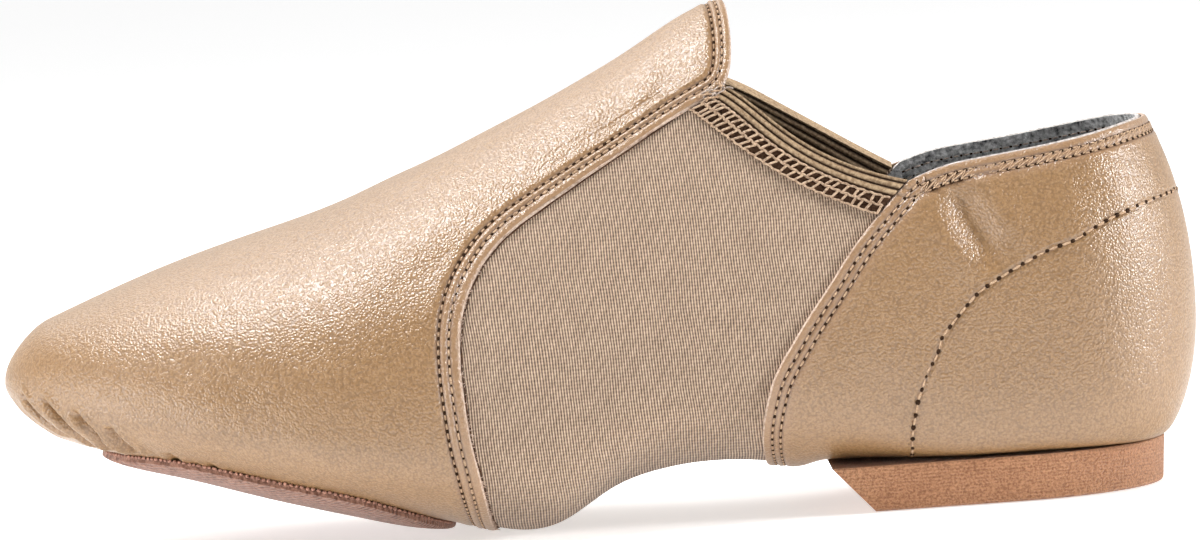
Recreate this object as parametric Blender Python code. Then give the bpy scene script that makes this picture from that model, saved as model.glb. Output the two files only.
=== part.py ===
"""Slip-on split-sole jazz shoe for the left foot.

Metres, +Z up. The toe points to -X, the heel to +X, and the outer side of the foot to -Y.
The origin is on the floor, under the middle of the shoe.
The upper is one hollow solid: raised leather vamp and quarter over a stretch insert, open at the
collar and under the forefoot and the heel seat. Every curved piece is laid on one last surface.
"""

import math

import bpy
import numpy as np

# Driving sizes
LENGTH = 0.250
BALL_WIDTH = 0.088
HEEL_WIDTH = 0.062
INSTEP_HEIGHT = 0.1074
COLLAR_HEIGHT = 0.0770
TOE_SPRING = 0.0295
ARCH_RISE = 0.0096
HEEL_HEIGHT = 0.0095
WALL = 0.0022
LEATHER = 0.0009
SOLE_THICKNESS = 0.0026
SOLE_EDGE = 0.0011
SOLE_PRESS = 0.0007
INSOLE_THICKNESS = 0.0020
ELASTIC_THICKNESS = 0.0010
GAP = 0.0003
INSOLE_GAP = 0.0005
ELASTIC_GAP = 0.00045

SEAT = HEEL_HEIGHT + GAP
TREAD = SOLE_THICKNESS + GAP - SOLE_PRESS
SEAT_EDGE_RADIUS = 0.0012

# Sections of the last, toe to heel.
# station: share of LENGTH. follows, bottom: the named size and its share.
# end: "fore" rows follow INSTEP_HEIGHT and BALL_WIDTH, "hind" rows COLLAR_HEIGHT and HEEL_WIDTH.
# middle, top: heights of the widest line and of the ridge over the bottom, as shares.
# outer, inner: half-widths as shares of half the width. low, high: fullness below and above.
BOTTOMS = {"spring": TOE_SPRING, "tread": TREAD, "arch": ARCH_RISE, "seat": SEAT}
SECTIONS = [
    ("station", "follows", "bottom", "end", "middle", "top", "outer", "inner", "low", "high"),
    (0.000, "spring", 1.000, "fore", 0.068, 0.150, 0.61, 0.79, 2.20, 2.10),
    (0.068, "spring", 0.766, "fore", 0.109, 0.277, 0.68, 0.86, 2.30, 2.10),
    (0.140, "spring", 0.625, "fore", 0.113, 0.377, 0.765, 0.92, 2.35, 2.10),
    (0.220, "spring", 0.425, "fore", 0.136, 0.487, 0.90, 1.00, 2.40, 2.10),
    (0.300, "spring", 0.240, "fore", 0.164, 0.595, 0.99, 0.97, 2.40, 2.05),
    (0.335, "tread", 2.100, "fore", 0.183, 0.651, 1.00, 0.935, 2.40, 2.02),
    (0.368, "tread", 1.140, "fore", 0.202, 0.700, 1.00, 0.90, 2.40, 2.00),
    (0.420, "arch", -0.120, "fore", 0.244, 0.786, 0.96, 0.85, 2.35, 1.97),
    (0.460, "arch", 0.000, "fore", 0.247, 0.816, 0.91, 0.80, 2.30, 1.94),
    (0.500, "arch", 0.600, "fore", 0.210, 0.807, 0.865, 0.76, 2.25, 1.90),
    (0.540, "arch", 0.940, "fore", 0.198, 0.825, 0.82, 0.73, 2.25, 1.87),
    (0.620, "arch", 1.000, "fore", 0.218, 0.906, 0.76, 0.71, 2.40, 1.82),
    (0.660, "arch", 0.880, "fore", 0.235, 0.908, 0.745, 0.705, 2.60, 1.82),
    (0.700, "seat", 0.870, "hind", 0.338, 1.227, 1.04, 1.00, 2.90, 1.86),
    (0.780, "seat", 0.560, "hind", 0.390, 1.173, 1.015, 1.00, 3.40, 1.95),
    (0.880, "seat", 0.460, "hind", 0.420, 1.142, 0.995, 0.995, 3.50, 2.00),
    (1.000, "seat", 0.460, "hind", 0.450, 1.140, 1.00, 1.00, 3.50, 2.00),
]

# Lengths over which each end closes, as shares of LENGTH
TOE_CLOSING = {"width": 0.190, "top": 0.040, "bottom": 0.056}
HEEL_CLOSING = {"width": 0.124, "top": 0.110, "bottom": 0.072}
SEAT_STARTS = 0.655
SEAT_FULL = 0.680

# Edge of the vamp, from the tongue's peak down to under the arch. place: share of the edge.
# station: share of LENGTH. girth: 0 at the ridge, 1 at the widest line, 2 under the foot.
VAMP_EDGE = [
    ("place", "station", "girth"),
    (0.00, 0.621, 0.000),
    (0.08, 0.624, 0.200),
    (0.15, 0.623, 0.340),
    (0.22, 0.614, 0.418),
    (0.30, 0.584, 0.444),
    (0.38, 0.524, 0.466),
    (0.46, 0.464, 0.508),
    (0.53, 0.419, 0.565),
    (0.60, 0.391, 0.680),
    (0.66, 0.383, 0.800),
    (0.73, 0.385, 0.967),
    (0.81, 0.392, 1.220),
    (0.90, 0.398, 1.560),
    (1.00, 0.404, 2.000),
]
TONGUE_CORNER = 0.22
ELASTIC_END = 0.30

# Edge of the quarter, from the collar down to under the arch.
# drop: share of the way from the collar to the middle of the underside.
QUARTER_EDGE = [
    ("place", "station", "drop"),
    (0.22, 0.760, 0.000),
    (0.30, 0.733, 0.060),
    (0.38, 0.709, 0.112),
    (0.46, 0.689, 0.160),
    (0.53, 0.669, 0.204),
    (0.60, 0.652, 0.248),
    (0.66, 0.640, 0.294),
    (0.73, 0.631, 0.400),
    (0.81, 0.626, 0.560),
    (0.90, 0.628, 0.770),
    (1.00, 0.634, 1.000),
]

# Collar line of the quarter. height: share of COLLAR_HEIGHT.
COLLAR = [
    ("station", "height"),
    (0.760, 0.885),
    (0.788, 0.914),
    (0.820, 0.930),
    (0.870, 0.949),
    (0.920, 0.973),
    (0.950, 0.990),
    (1.000, 1.005),
]

# Openings underneath and the pieces over and under them, as shares of LENGTH and of the width
FOREFOOT_OPENING = {"start": 0.110, "end": 0.335, "width": 0.58, "square": 3}
SEAT_OPENING = {"start": 0.715, "end": 0.915, "width": 0.62, "square": 3}
FOREFOOT_SOLE = {"start": 0.078, "end": 0.370, "width": 0.74, "square": 3}
INSOLE = {"start": 0.040, "end": 0.958, "width": 0.86, "square": 9}

# Heel block, in shares of LENGTH and HEEL_WIDTH
HEEL_FRONT_TOP = 0.682
HEEL_FRONT_BOTTOM = 0.716
HEEL_BACK = 0.967
HEEL_BLOCK_WIDTH = 0.825
HEEL_ROUND = 0.125
HEEL_TAPER = 0.0008
HEEL_ARC_STEPS = 24

# Mesh rows and columns
TONGUE_ROWS = [0.00, 0.05, 0.10, 0.15, 0.19]
SIDE_ROWS = [0.22, 0.26, 0.30, 0.38, 0.46, 0.53, 0.60, 0.66, 0.72]
SIDE_ROWS += [0.76, 0.79, 0.82, 0.85, 0.88, 0.91, 0.94, 0.97, 1.00]
VAMP_COLUMNS = 17
INSERT_COLUMNS = 12
QUARTER_COLUMNS = 17
ELASTIC_ROWS = 4
SOLE_STATIONS, SOLE_ROWS = 24, 18
INSOLE_STATIONS, INSOLE_ROWS = 38, 10
SEAT_OPENING_PART = 0.20
SQUEEZE_FROM = 1.2
SKIVE_SHAPE = 6
NORMAL_STEP = 0.002

LEATHER_TAN = (0.54, 0.34, 0.18)
KNIT_TAN = (0.45, 0.32, 0.22)
SUEDE_PINK = (0.52, 0.33, 0.22)
SUEDE_ORANGE = (0.58, 0.31, 0.14)
FELT_GREY = (0.24, 0.24, 0.25)


def columns_of(table):
    """Columns of a table, by name."""
    return {name: [row[i] for row in table[1:]] for i, name in enumerate(table[0])}


def spline(knots, values):
    """Natural cubic spline through the given values."""
    knots = np.array(knots, float)
    values = np.array(values, float)
    steps = np.diff(knots)
    last = len(knots) - 1
    system = np.eye(last + 1)
    right = np.zeros(last + 1)
    for i in range(1, last):
        system[i, i - 1:i + 2] = steps[i - 1], 2 * (steps[i - 1] + steps[i]), steps[i]
        right[i] = 6 * ((values[i + 1] - values[i]) / steps[i] - (values[i] - values[i - 1]) / steps[i - 1])
    bend = np.linalg.solve(system, right)

    def value(at):
        i = np.clip(np.searchsorted(knots, at) - 1, 0, last - 1)
        d = at - knots[i]
        slope = (values[i + 1] - values[i]) / steps[i] - steps[i] * (2 * bend[i] + bend[i + 1]) / 6
        return values[i] + d * slope + d ** 2 * bend[i] / 2 + d ** 3 * (bend[i + 1] - bend[i]) / (6 * steps[i])

    return value


def section_splines():
    """Splines of the section table, in metres, over the station."""
    table = columns_of(SECTIONS)
    heights = {"fore": INSTEP_HEIGHT, "hind": COLLAR_HEIGHT}
    halves = {"fore": BALL_WIDTH / 2, "hind": HEEL_WIDTH / 2}
    bottom = [BOTTOMS[name] * share for name, share in zip(table["follows"], table["bottom"])]
    columns = {"bottom": bottom, "low": table["low"], "high": table["high"]}
    for name in ("middle", "top"):
        columns[name] = [b + s * heights[e] for b, s, e in zip(bottom, table[name], table["end"])]
    for name in ("outer", "inner"):
        columns[name] = [s * halves[e] for s, e in zip(table[name], table["end"])]
    return {name: spline(table["station"], column) for name, column in columns.items()}


SECTION = section_splines()
COLLAR_LINE = spline(*columns_of(COLLAR).values())
VAMP_EDGE_STATION = spline(columns_of(VAMP_EDGE)["place"], columns_of(VAMP_EDGE)["station"])
VAMP_EDGE_GIRTH = spline(columns_of(VAMP_EDGE)["place"], columns_of(VAMP_EDGE)["girth"])
QUARTER_EDGE_STATION = spline(columns_of(QUARTER_EDGE)["place"], columns_of(QUARTER_EDGE)["station"])
QUARTER_EDGE_DROP = spline(columns_of(QUARTER_EDGE)["place"], columns_of(QUARTER_EDGE)["drop"])


def closing(station, name):
    """Share left of a width or height where the rounded toe and heel close."""
    toe = min(station / TOE_CLOSING[name], 1)
    heel = min((1 - station) / HEEL_CLOSING[name], 1)
    return math.sqrt(max(1 - (1 - toe) ** 2, 0)) * math.sqrt(max(1 - (1 - heel) ** 2, 0))


def section_at(station):
    """Bottom, middle, top, half-width, middle line and fullnesses of one section."""
    values = {name: float(line(station)) for name, line in SECTION.items()}
    middle = values["middle"]
    half = (values["outer"] + values["inner"]) / 2 * closing(station, "width")
    centre = (values["inner"] - values["outer"]) / 2
    top = middle + (values["top"] - middle) * closing(station, "top")
    bottom = middle - (middle - values["bottom"]) * closing(station, "bottom")
    return bottom, middle, top, half, centre, values["low"], values["high"]


def seat_height(station, height):
    """The underside flattened softly onto the heel seat."""
    share = min(max((station - SEAT_STARTS) / (SEAT_FULL - SEAT_STARTS), 0), 1)
    share = share * share * (3 - 2 * share)
    flat = SEAT + SEAT_EDGE_RADIUS * np.logaddexp(0, (height - SEAT) / SEAT_EDGE_RADIUS)
    return height + (flat - height) * share


def last_point(station, girth):
    """Point of the last. girth runs from 0 at the ridge to 2 underneath, negative on the outer side."""
    girth = (girth + 2) % 4 - 2
    bottom, middle, top, half, centre, low, high = section_at(station)
    turn = (1 - abs(girth)) * math.pi / 2
    full = high if turn >= 0 else low
    across = abs(math.cos(turn)) ** (2 / full)
    up = abs(math.sin(turn)) ** (2 / full)
    x = (station - 0.5) * LENGTH
    y = centre + math.copysign(half * across, girth)
    z = middle + (top - middle) * up if turn >= 0 else middle - (middle - bottom) * up
    return np.array([x, y, seat_height(station, z)])


def station_of(sweep):
    """Station that a steady sweep from toe (0) to heel (1) reaches, crowding at both ends."""
    return (1 - math.cos(math.pi * sweep)) / 2


def sweep_of(station):
    return math.acos(1 - 2 * station) / math.pi


def shoe_point(sweep, girth, offset):
    """Point at a distance outside the last, measured along its normal."""
    step = NORMAL_STEP
    point = last_point(station_of(sweep), girth)
    if sweep < step or sweep > 1 - step:
        return point + np.array([offset if sweep > 0.5 else -offset, 0, 0])
    along = last_point(station_of(sweep + step), girth) - last_point(station_of(sweep - step), girth)
    around = last_point(station_of(sweep), girth + step) - last_point(station_of(sweep), girth - step)
    normal = np.cross(along, around)
    return point + offset * normal / np.linalg.norm(normal)


def collar_girth(station):
    """Girth of the quarter's collar line, 0 where the last is lower than the collar."""
    _, middle, top, _, _, _, high = section_at(station)
    height = COLLAR_HEIGHT * float(COLLAR_LINE(station))
    share = min((height - middle) / max(top - middle, 1e-9), 1)
    return 1 - 2 / math.pi * math.asin(share ** (high / 2))


def collar_back():
    """Station where the collar line meets the back of the heel."""
    low, high = COLLAR[3][0], 1.0
    for _ in range(40):
        middle = (low + high) / 2
        low, high = (middle, high) if collar_girth(middle) > 0 else (low, middle)
    return high


COLLAR_BACK = collar_back()


def girth_at_width(station, share):
    """Girth underneath at a share of the section's half-width."""
    low = float(SECTION["low"](station))
    return 2 - 2 / math.pi * math.asin(share ** (low / 2))


def oval(station, span):
    """Half-width share of an opening or piece with rounded ends, 0 outside it."""
    along = 2 * (station - span["start"]) / (span["end"] - span["start"]) - 1
    return span["width"] * max(1 - abs(along) ** span["square"], 0) ** 0.5


def lower_limit(station):
    """Girth at which the vamp ends underneath: 2 where it is closed, less at its opening."""
    return girth_at_width(station, oval(station, FOREFOOT_OPENING))


def squeezed(girth, limit):
    """Lower rows drawn together so that the last one ends at the limit."""
    if girth <= SQUEEZE_FROM:
        return girth
    return SQUEEZE_FROM + (girth - SQUEEZE_FROM) * (limit - SQUEEZE_FROM) / (2 - SQUEEZE_FROM)


def vamp_place(part, place):
    """Sweep and girth in the vamp, part 0 at the toe and 1 at its edge."""
    sweep = part * sweep_of(float(VAMP_EDGE_STATION(place)))
    girth = (1 - part * part) * 2 * place + part * part * float(VAMP_EDGE_GIRTH(place))
    under = station_of(part * sweep_of(float(VAMP_EDGE_STATION(1))))
    return sweep, squeezed(girth, lower_limit(under))


def flattened(sweep, girth):
    """Place seen from behind the heel: across and up from its rearmost point."""
    angle = math.pi / 2 * girth
    return (1 - sweep) * np.array([math.sin(angle), math.cos(angle)])


def quarter_front(fall):
    """Front edge of the quarter, seen from behind, from the collar (0) to underneath (1)."""
    place = TONGUE_CORNER + fall * (1 - TONGUE_CORNER)
    top = collar_girth(QUARTER_EDGE[1][1])
    girth = top + float(QUARTER_EDGE_DROP(place)) * (2 - top)
    return flattened(sweep_of(float(QUARTER_EDGE_STATION(place))), girth)


def quarter_collar(part):
    """Collar line, seen from behind, from the quarter's front edge (0) to the back (1)."""
    start = sweep_of(QUARTER_EDGE[1][1])
    sweep = start + (sweep_of(COLLAR_BACK) - start) * (1 - (1 - part) ** 2)
    return flattened(sweep, collar_girth(station_of(sweep)) if part < 1 else 0)


def quarter_floor(part):
    """Underside, seen from behind: the closed middle line, then the edge of the seat's opening."""
    ends = [sweep_of(QUARTER_EDGE[-1][1]), sweep_of(SEAT_OPENING["start"]), sweep_of(SEAT_OPENING["end"])]
    if part < SEAT_OPENING_PART:
        return flattened(ends[0] + (ends[1] - ends[0]) * part / SEAT_OPENING_PART, 2)
    along = (part - SEAT_OPENING_PART) / (1 - SEAT_OPENING_PART)
    sweep = ends[1] + (ends[2] - ends[1]) * station_of(along)
    station = station_of(sweep)
    return flattened(sweep, girth_at_width(station, oval(station, SEAT_OPENING)))


def quarter_place(part, place):
    """Sweep and girth in the quarter, part 0 at its front edge and 1 at the back of the heel."""
    fall = (place - TONGUE_CORNER) / (1 - TONGUE_CORNER)
    top, floor = quarter_collar(part), quarter_floor(part)
    front = quarter_front(fall)
    back = (1 - fall) * quarter_collar(1) + fall * quarter_floor(1)
    corners = (1 - part) * ((1 - fall) * quarter_front(0) + fall * quarter_front(1)) + part * back
    across, up = (1 - fall) * top + fall * floor + (1 - part) * front + part * back - corners
    return 1 - math.hypot(across, up), 2 / math.pi * math.atan2(max(across, 0), up)


def insert_place(part, place):
    """Sweep and girth in the stretch insert, between the vamp's edge and the quarter's."""
    front = np.array([sweep_of(float(VAMP_EDGE_STATION(place))), float(VAMP_EDGE_GIRTH(place))])
    back = np.array(quarter_place(0, place))
    return tuple(front + part * (back - front))


def welded(points):
    """Index of each point, the same for points that coincide, and the distinct points."""
    places = {}
    index = []
    kept = []
    for point in points:
        key = tuple(int(round(c * 1e7)) for c in point)
        if key not in places:
            places[key] = len(kept)
            kept.append(point)
        index.append(places[key])
    return index, kept


def plate(faces, outer, inner):
    """Closed mesh between two layers of points that share the faces of the outer one."""
    index, points = welded([tuple(p) for p in outer] + [tuple(p) for p in inner])
    count = len(outer)

    def clean(corners):
        ring = [c for i, c in enumerate(corners) if c != corners[i - 1]]
        return ring if len(set(ring)) == len(ring) and len(ring) > 2 else None

    skin = [clean([index[c] for c in face]) for face in faces]
    lining = [clean([index[c + count] for c in reversed(face)]) for face in faces]
    below = {index[i]: index[i + count] for i in range(count)}
    skin = [face for face in skin if face]
    sides = {(face[i - 1], face[i]) for face in skin for i in range(len(face))}
    rim = [clean([b, a, below[a], below[b]]) for a, b in sorted(sides) if (b, a) not in sides]
    return points, skin + [face for face in lining + rim if face]


def grid_faces(grid):
    """Quads of a grid of indices whose rows all have one length."""
    faces = []
    for first, second in zip(grid, grid[1:]):
        for i in range(len(first) - 1):
            faces.append((first[i], first[i + 1], second[i + 1], second[i]))
    return faces


def material(name, colour, roughness):
    made = bpy.data.materials.new(name)
    made.use_nodes = True
    shader = made.node_tree.nodes["Principled BSDF"]
    shader.inputs["Base Color"].default_value = (*colour, 1)
    shader.inputs["Roughness"].default_value = roughness
    shader.inputs["Metallic"].default_value = 0
    return made


def add_object(name, points, faces, surface):
    mesh = bpy.data.meshes.new(name)
    mesh.from_pydata([tuple(p) for p in points], [], faces)
    mesh.validate()
    mesh.materials.append(surface)
    made = bpy.data.objects.new(name, mesh)
    bpy.context.scene.collection.objects.link(made)
    mesh.shade_smooth()
    mesh.set_sharp_from_angle(angle=math.radians(55))
    return made


def grounded(point, height):
    """Point kept at or above a height, where the shoe presses flat on the floor."""
    return np.array([point[0], point[1], max(point[2], height)])


def upper():
    """Vamp, stretch insert and quarter as one wall, with a step at both seams."""
    rows = TONGUE_ROWS + SIDE_ROWS
    columns = [(vamp_place, i / (VAMP_COLUMNS - 1), 0, rows) for i in range(VAMP_COLUMNS)]
    columns += [(insert_place, i / (INSERT_COLUMNS - 1), -LEATHER, SIDE_ROWS) for i in range(INSERT_COLUMNS)]
    columns += [(quarter_place, i / (QUARTER_COLUMNS - 1), 0, SIDE_ROWS) for i in range(QUARTER_COLUMNS)]
    outer = []
    inner = []
    faces = []
    for side in (-1, 1):
        grid = []
        for place_in, part, offset, places in columns:
            column = []
            for place in places:
                sweep, girth = place_in(part, place)
                column.append(len(outer))
                outer.append(grounded(shoe_point(sweep, side * girth, offset), 0))
                inner.append(grounded(shoe_point(sweep, side * girth, -WALL), WALL - LEATHER))
            grid.append(column)
        shared = len(SIDE_ROWS)
        quads = grid_faces(grid[:VAMP_COLUMNS])
        quads += grid_faces([column[-shared:] for column in grid[VAMP_COLUMNS - 1:]])
        faces += quads if side < 0 else [tuple(reversed(quad)) for quad in quads]
    return add_object("upper", *plate(faces, outer, inner), material("tan_leather", LEATHER_TAN, 0.45))


def laid_plate(name, span, stations, rows, near, floor, thickness_at, surface):
    """Plate along the underside of the last, from an offset near the foot to its thickness away."""
    away = math.copysign(1, near)
    outer = []
    inner = []
    grid = []
    for i in range(stations + 1):
        station = span["start"] + (span["end"] - span["start"]) * station_of(i / stations)
        width = oval(station, span)
        column = []
        for j in range(rows + 1):
            across = math.sin(math.pi * (j / rows - 0.5))
            girth = math.copysign(girth_at_width(station, abs(across) * width), across)
            thickness = thickness_at(across, station)
            column.append(len(outer))
            outer.append(grounded(shoe_point(sweep_of(station), girth, near + away * thickness), floor[0]))
            inner.append(grounded(shoe_point(sweep_of(station), girth, near), floor[1]))
        grid.append(column)
    faces = grid_faces(grid)
    if away < 0:
        faces = [tuple(reversed(face)) for face in faces]
    return add_object(name, *plate(faces, outer, inner), surface)


def forefoot_sole():
    """Suede patch under the ball and toes, skived thinner at its edge."""
    def thickness(across, station):
        along = 2 * (station - FOREFOOT_SOLE["start"]) / (FOREFOOT_SOLE["end"] - FOREFOOT_SOLE["start"]) - 1
        edge = max(abs(across), abs(along)) ** SKIVE_SHAPE
        return SOLE_THICKNESS + (SOLE_EDGE - SOLE_THICKNESS) * edge

    suede = material("pink_suede", SUEDE_PINK, 0.9)
    floor = (0, 0)
    return laid_plate("forefoot_sole", FOREFOOT_SOLE, SOLE_STATIONS, SOLE_ROWS, GAP, floor, thickness, suede)


def insole():
    """Sock over the whole inside floor."""
    def thickness(across, station):
        return INSOLE_THICKNESS

    felt = material("insole_felt", FELT_GREY, 0.9)
    low = WALL - LEATHER + INSOLE_GAP
    floor = (low + INSOLE_THICKNESS, low)
    near = -(WALL + INSOLE_GAP)
    return laid_plate("insole", INSOLE, INSOLE_STATIONS, INSOLE_ROWS, near, floor, thickness, felt)


def elastic(name, side):
    """Elastic edging on the stretch insert, from the tongue's corner to the quarter's."""
    corner = shoe_point(*insert_place(0, TONGUE_CORNER), 0)
    margin = ELASTIC_GAP / np.linalg.norm(shoe_point(*insert_place(1, TONGUE_CORNER), 0) - corner)
    low = GAP - LEATHER
    grid = []
    outer = []
    inner = []
    for i in range(INSERT_COLUMNS):
        part = margin + (1 - 2 * margin) * i / (INSERT_COLUMNS - 1)
        column = []
        for row in range(ELASTIC_ROWS):
            place = TONGUE_CORNER + (ELASTIC_END - TONGUE_CORNER) * row / (ELASTIC_ROWS - 1)
            sweep, girth = insert_place(part, place)
            column.append(len(outer))
            outer.append(shoe_point(sweep, side * girth, low + ELASTIC_THICKNESS))
            inner.append(shoe_point(sweep, side * girth, low))
        grid.append(column)
    faces = grid_faces(grid)
    if side > 0:
        faces = [tuple(reversed(face)) for face in faces]
    return add_object(name, *plate(faces, outer, inner), material(name, KNIT_TAN, 0.7))


def heel():
    """Low block with a straight slanting front and a round back."""
    def outline(front, inset, height):
        back = (HEEL_BACK - 0.5) * LENGTH - inset
        half = HEEL_BLOCK_WIDTH * HEEL_WIDTH / 2 - inset
        length = HEEL_ROUND * LENGTH
        points = [((front - 0.5) * LENGTH, half, height)]
        for i in range(HEEL_ARC_STEPS + 1):
            angle = math.pi / 2 - math.pi * i / HEEL_ARC_STEPS
            points.append((back - length * (1 - math.cos(angle)), half * math.sin(angle), height))
        points.append(((front - 0.5) * LENGTH, -half, height))
        return points

    bottom = outline(HEEL_FRONT_BOTTOM, HEEL_TAPER, 0)
    top = outline(HEEL_FRONT_TOP, 0, HEEL_HEIGHT)
    count = len(top)
    faces = [tuple(range(count)), tuple(reversed(range(count, 2 * count)))]
    faces += [(i, i + count, (i + 1) % count + count, (i + 1) % count) for i in range(count)]
    return add_object("heel", bottom + top, faces, material("heel_suede", SUEDE_ORANGE, 0.85))


def clear_scene():
    for item in list(bpy.data.objects):
        bpy.data.objects.remove(item)


def main():
    clear_scene()
    upper()
    forefoot_sole()
    heel()
    insole()
    elastic("elastic_outer", -1)
    elastic("elastic_inner", 1)


main()
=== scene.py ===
import math

import bpy
import numpy as np
from mathutils import Matrix, Vector


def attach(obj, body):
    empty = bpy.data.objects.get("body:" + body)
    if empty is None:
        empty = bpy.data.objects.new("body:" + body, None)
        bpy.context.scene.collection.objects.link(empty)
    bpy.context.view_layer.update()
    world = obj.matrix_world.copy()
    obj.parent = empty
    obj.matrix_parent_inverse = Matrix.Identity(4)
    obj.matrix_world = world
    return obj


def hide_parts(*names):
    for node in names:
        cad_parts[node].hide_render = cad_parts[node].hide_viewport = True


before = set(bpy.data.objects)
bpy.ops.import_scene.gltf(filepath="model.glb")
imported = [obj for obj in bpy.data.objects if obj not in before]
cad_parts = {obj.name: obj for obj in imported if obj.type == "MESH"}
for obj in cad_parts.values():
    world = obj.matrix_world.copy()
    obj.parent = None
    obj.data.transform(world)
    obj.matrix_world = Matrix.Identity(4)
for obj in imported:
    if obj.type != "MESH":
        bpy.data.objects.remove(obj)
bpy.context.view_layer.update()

# The shoe's own sizes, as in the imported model
LENGTH = 0.250
BALL_WIDTH = 0.088
HEEL_WIDTH = 0.062
INSTEP_HEIGHT = 0.1074
COLLAR_HEIGHT = 0.0770
TOE_SPRING = 0.0295
ARCH_RISE = 0.0096
HEEL_HEIGHT = 0.0095
WALL = 0.0022
LEATHER = 0.0009
SOLE_THICKNESS = 0.0026
SOLE_EDGE = 0.0011
SOLE_PRESS = 0.0007
INSOLE_THICKNESS = 0.0020
GAP = 0.0003
INSOLE_GAP = 0.0005
SEAT = HEEL_HEIGHT + GAP
TREAD = SOLE_THICKNESS + GAP - SOLE_PRESS
SEAT_EDGE_RADIUS = 0.0012

# Sections of the last, toe to heel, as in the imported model
BOTTOMS = {"spring": TOE_SPRING, "tread": TREAD, "arch": ARCH_RISE, "seat": SEAT}
SECTIONS = [
    ("station", "follows", "bottom", "end", "middle", "top", "outer", "inner", "low", "high"),
    (0.000, "spring", 1.000, "fore", 0.068, 0.150, 0.61, 0.79, 2.20, 2.10),
    (0.068, "spring", 0.766, "fore", 0.109, 0.277, 0.68, 0.86, 2.30, 2.10),
    (0.140, "spring", 0.625, "fore", 0.113, 0.377, 0.765, 0.92, 2.35, 2.10),
    (0.220, "spring", 0.425, "fore", 0.136, 0.487, 0.90, 1.00, 2.40, 2.10),
    (0.300, "spring", 0.240, "fore", 0.164, 0.595, 0.99, 0.97, 2.40, 2.05),
    (0.335, "tread", 2.100, "fore", 0.183, 0.651, 1.00, 0.935, 2.40, 2.02),
    (0.368, "tread", 1.140, "fore", 0.202, 0.700, 1.00, 0.90, 2.40, 2.00),
    (0.420, "arch", -0.120, "fore", 0.244, 0.786, 0.96, 0.85, 2.35, 1.97),
    (0.460, "arch", 0.000, "fore", 0.247, 0.816, 0.91, 0.80, 2.30, 1.94),
    (0.500, "arch", 0.600, "fore", 0.210, 0.807, 0.865, 0.76, 2.25, 1.90),
    (0.540, "arch", 0.940, "fore", 0.198, 0.825, 0.82, 0.73, 2.25, 1.87),
    (0.620, "arch", 1.000, "fore", 0.218, 0.906, 0.76, 0.71, 2.40, 1.82),
    (0.660, "arch", 0.880, "fore", 0.235, 0.908, 0.745, 0.705, 2.60, 1.82),
    (0.700, "seat", 0.870, "hind", 0.338, 1.227, 1.04, 1.00, 2.90, 1.86),
    (0.780, "seat", 0.560, "hind", 0.390, 1.173, 1.015, 1.00, 3.40, 1.95),
    (0.880, "seat", 0.460, "hind", 0.420, 1.142, 0.995, 0.995, 3.50, 2.00),
    (1.000, "seat", 0.460, "hind", 0.450, 1.140, 1.00, 1.00, 3.50, 2.00),
]
TOE_CLOSING = {"width": 0.190, "top": 0.040, "bottom": 0.056}
HEEL_CLOSING = {"width": 0.124, "top": 0.110, "bottom": 0.072}
SEAT_STARTS = 0.655
SEAT_FULL = 0.680
VAMP_EDGE = [
    ("place", "station", "girth"),
    (0.00, 0.621, 0.000),
    (0.08, 0.624, 0.200),
    (0.15, 0.623, 0.340),
    (0.22, 0.614, 0.418),
    (0.30, 0.584, 0.444),
    (0.38, 0.524, 0.466),
    (0.46, 0.464, 0.508),
    (0.53, 0.419, 0.565),
    (0.60, 0.391, 0.680),
    (0.66, 0.383, 0.800),
    (0.73, 0.385, 0.967),
    (0.81, 0.392, 1.220),
    (0.90, 0.398, 1.560),
    (1.00, 0.404, 2.000),
]
TONGUE_CORNER = 0.22
ELASTIC_END = 0.30
QUARTER_EDGE = [
    ("place", "station", "drop"),
    (0.22, 0.760, 0.000),
    (0.30, 0.733, 0.060),
    (0.38, 0.709, 0.112),
    (0.46, 0.689, 0.160),
    (0.53, 0.669, 0.204),
    (0.60, 0.652, 0.248),
    (0.66, 0.640, 0.294),
    (0.73, 0.631, 0.400),
    (0.81, 0.626, 0.560),
    (0.90, 0.628, 0.770),
    (1.00, 0.634, 1.000),
]
COLLAR = [
    ("station", "height"),
    (0.760, 0.885),
    (0.788, 0.914),
    (0.820, 0.930),
    (0.870, 0.949),
    (0.920, 0.973),
    (0.950, 0.990),
    (1.000, 1.005),
]
FOREFOOT_OPENING = {"start": 0.110, "end": 0.335, "width": 0.58, "square": 3}
SEAT_OPENING = {"start": 0.715, "end": 0.915, "width": 0.62, "square": 3}
FOREFOOT_SOLE = {"start": 0.078, "end": 0.370, "width": 0.74, "square": 3}
INSOLE = {"start": 0.040, "end": 0.958, "width": 0.86, "square": 9}
HEEL_FRONT_TOP = 0.682
HEEL_FRONT_BOTTOM = 0.716
HEEL_BACK = 0.967
HEEL_BLOCK_WIDTH = 0.825
HEEL_ROUND = 0.125
HEEL_TAPER = 0.0008
SEAT_OPENING_PART = 0.20
SQUEEZE_FROM = 1.2
NORMAL_STEP = 0.002

MM = 0.001
TINY = 1e-12


def rows_of(table):
    return [dict(zip(table[0], row)) for row in table[1:]]


def columns_of(table):
    return {name: np.array([row[i] for row in table[1:]]) for i, name in enumerate(table[0])}


def eased(share):
    return share * share * (3 - 2 * share)


def unit(vectors):
    return vectors / np.maximum(np.linalg.norm(vectors, axis=-1, keepdims=True), TINY)


# Surface of the last
COLLAR_BACK_FROM = 0.82
HALVINGS = 40



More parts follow.
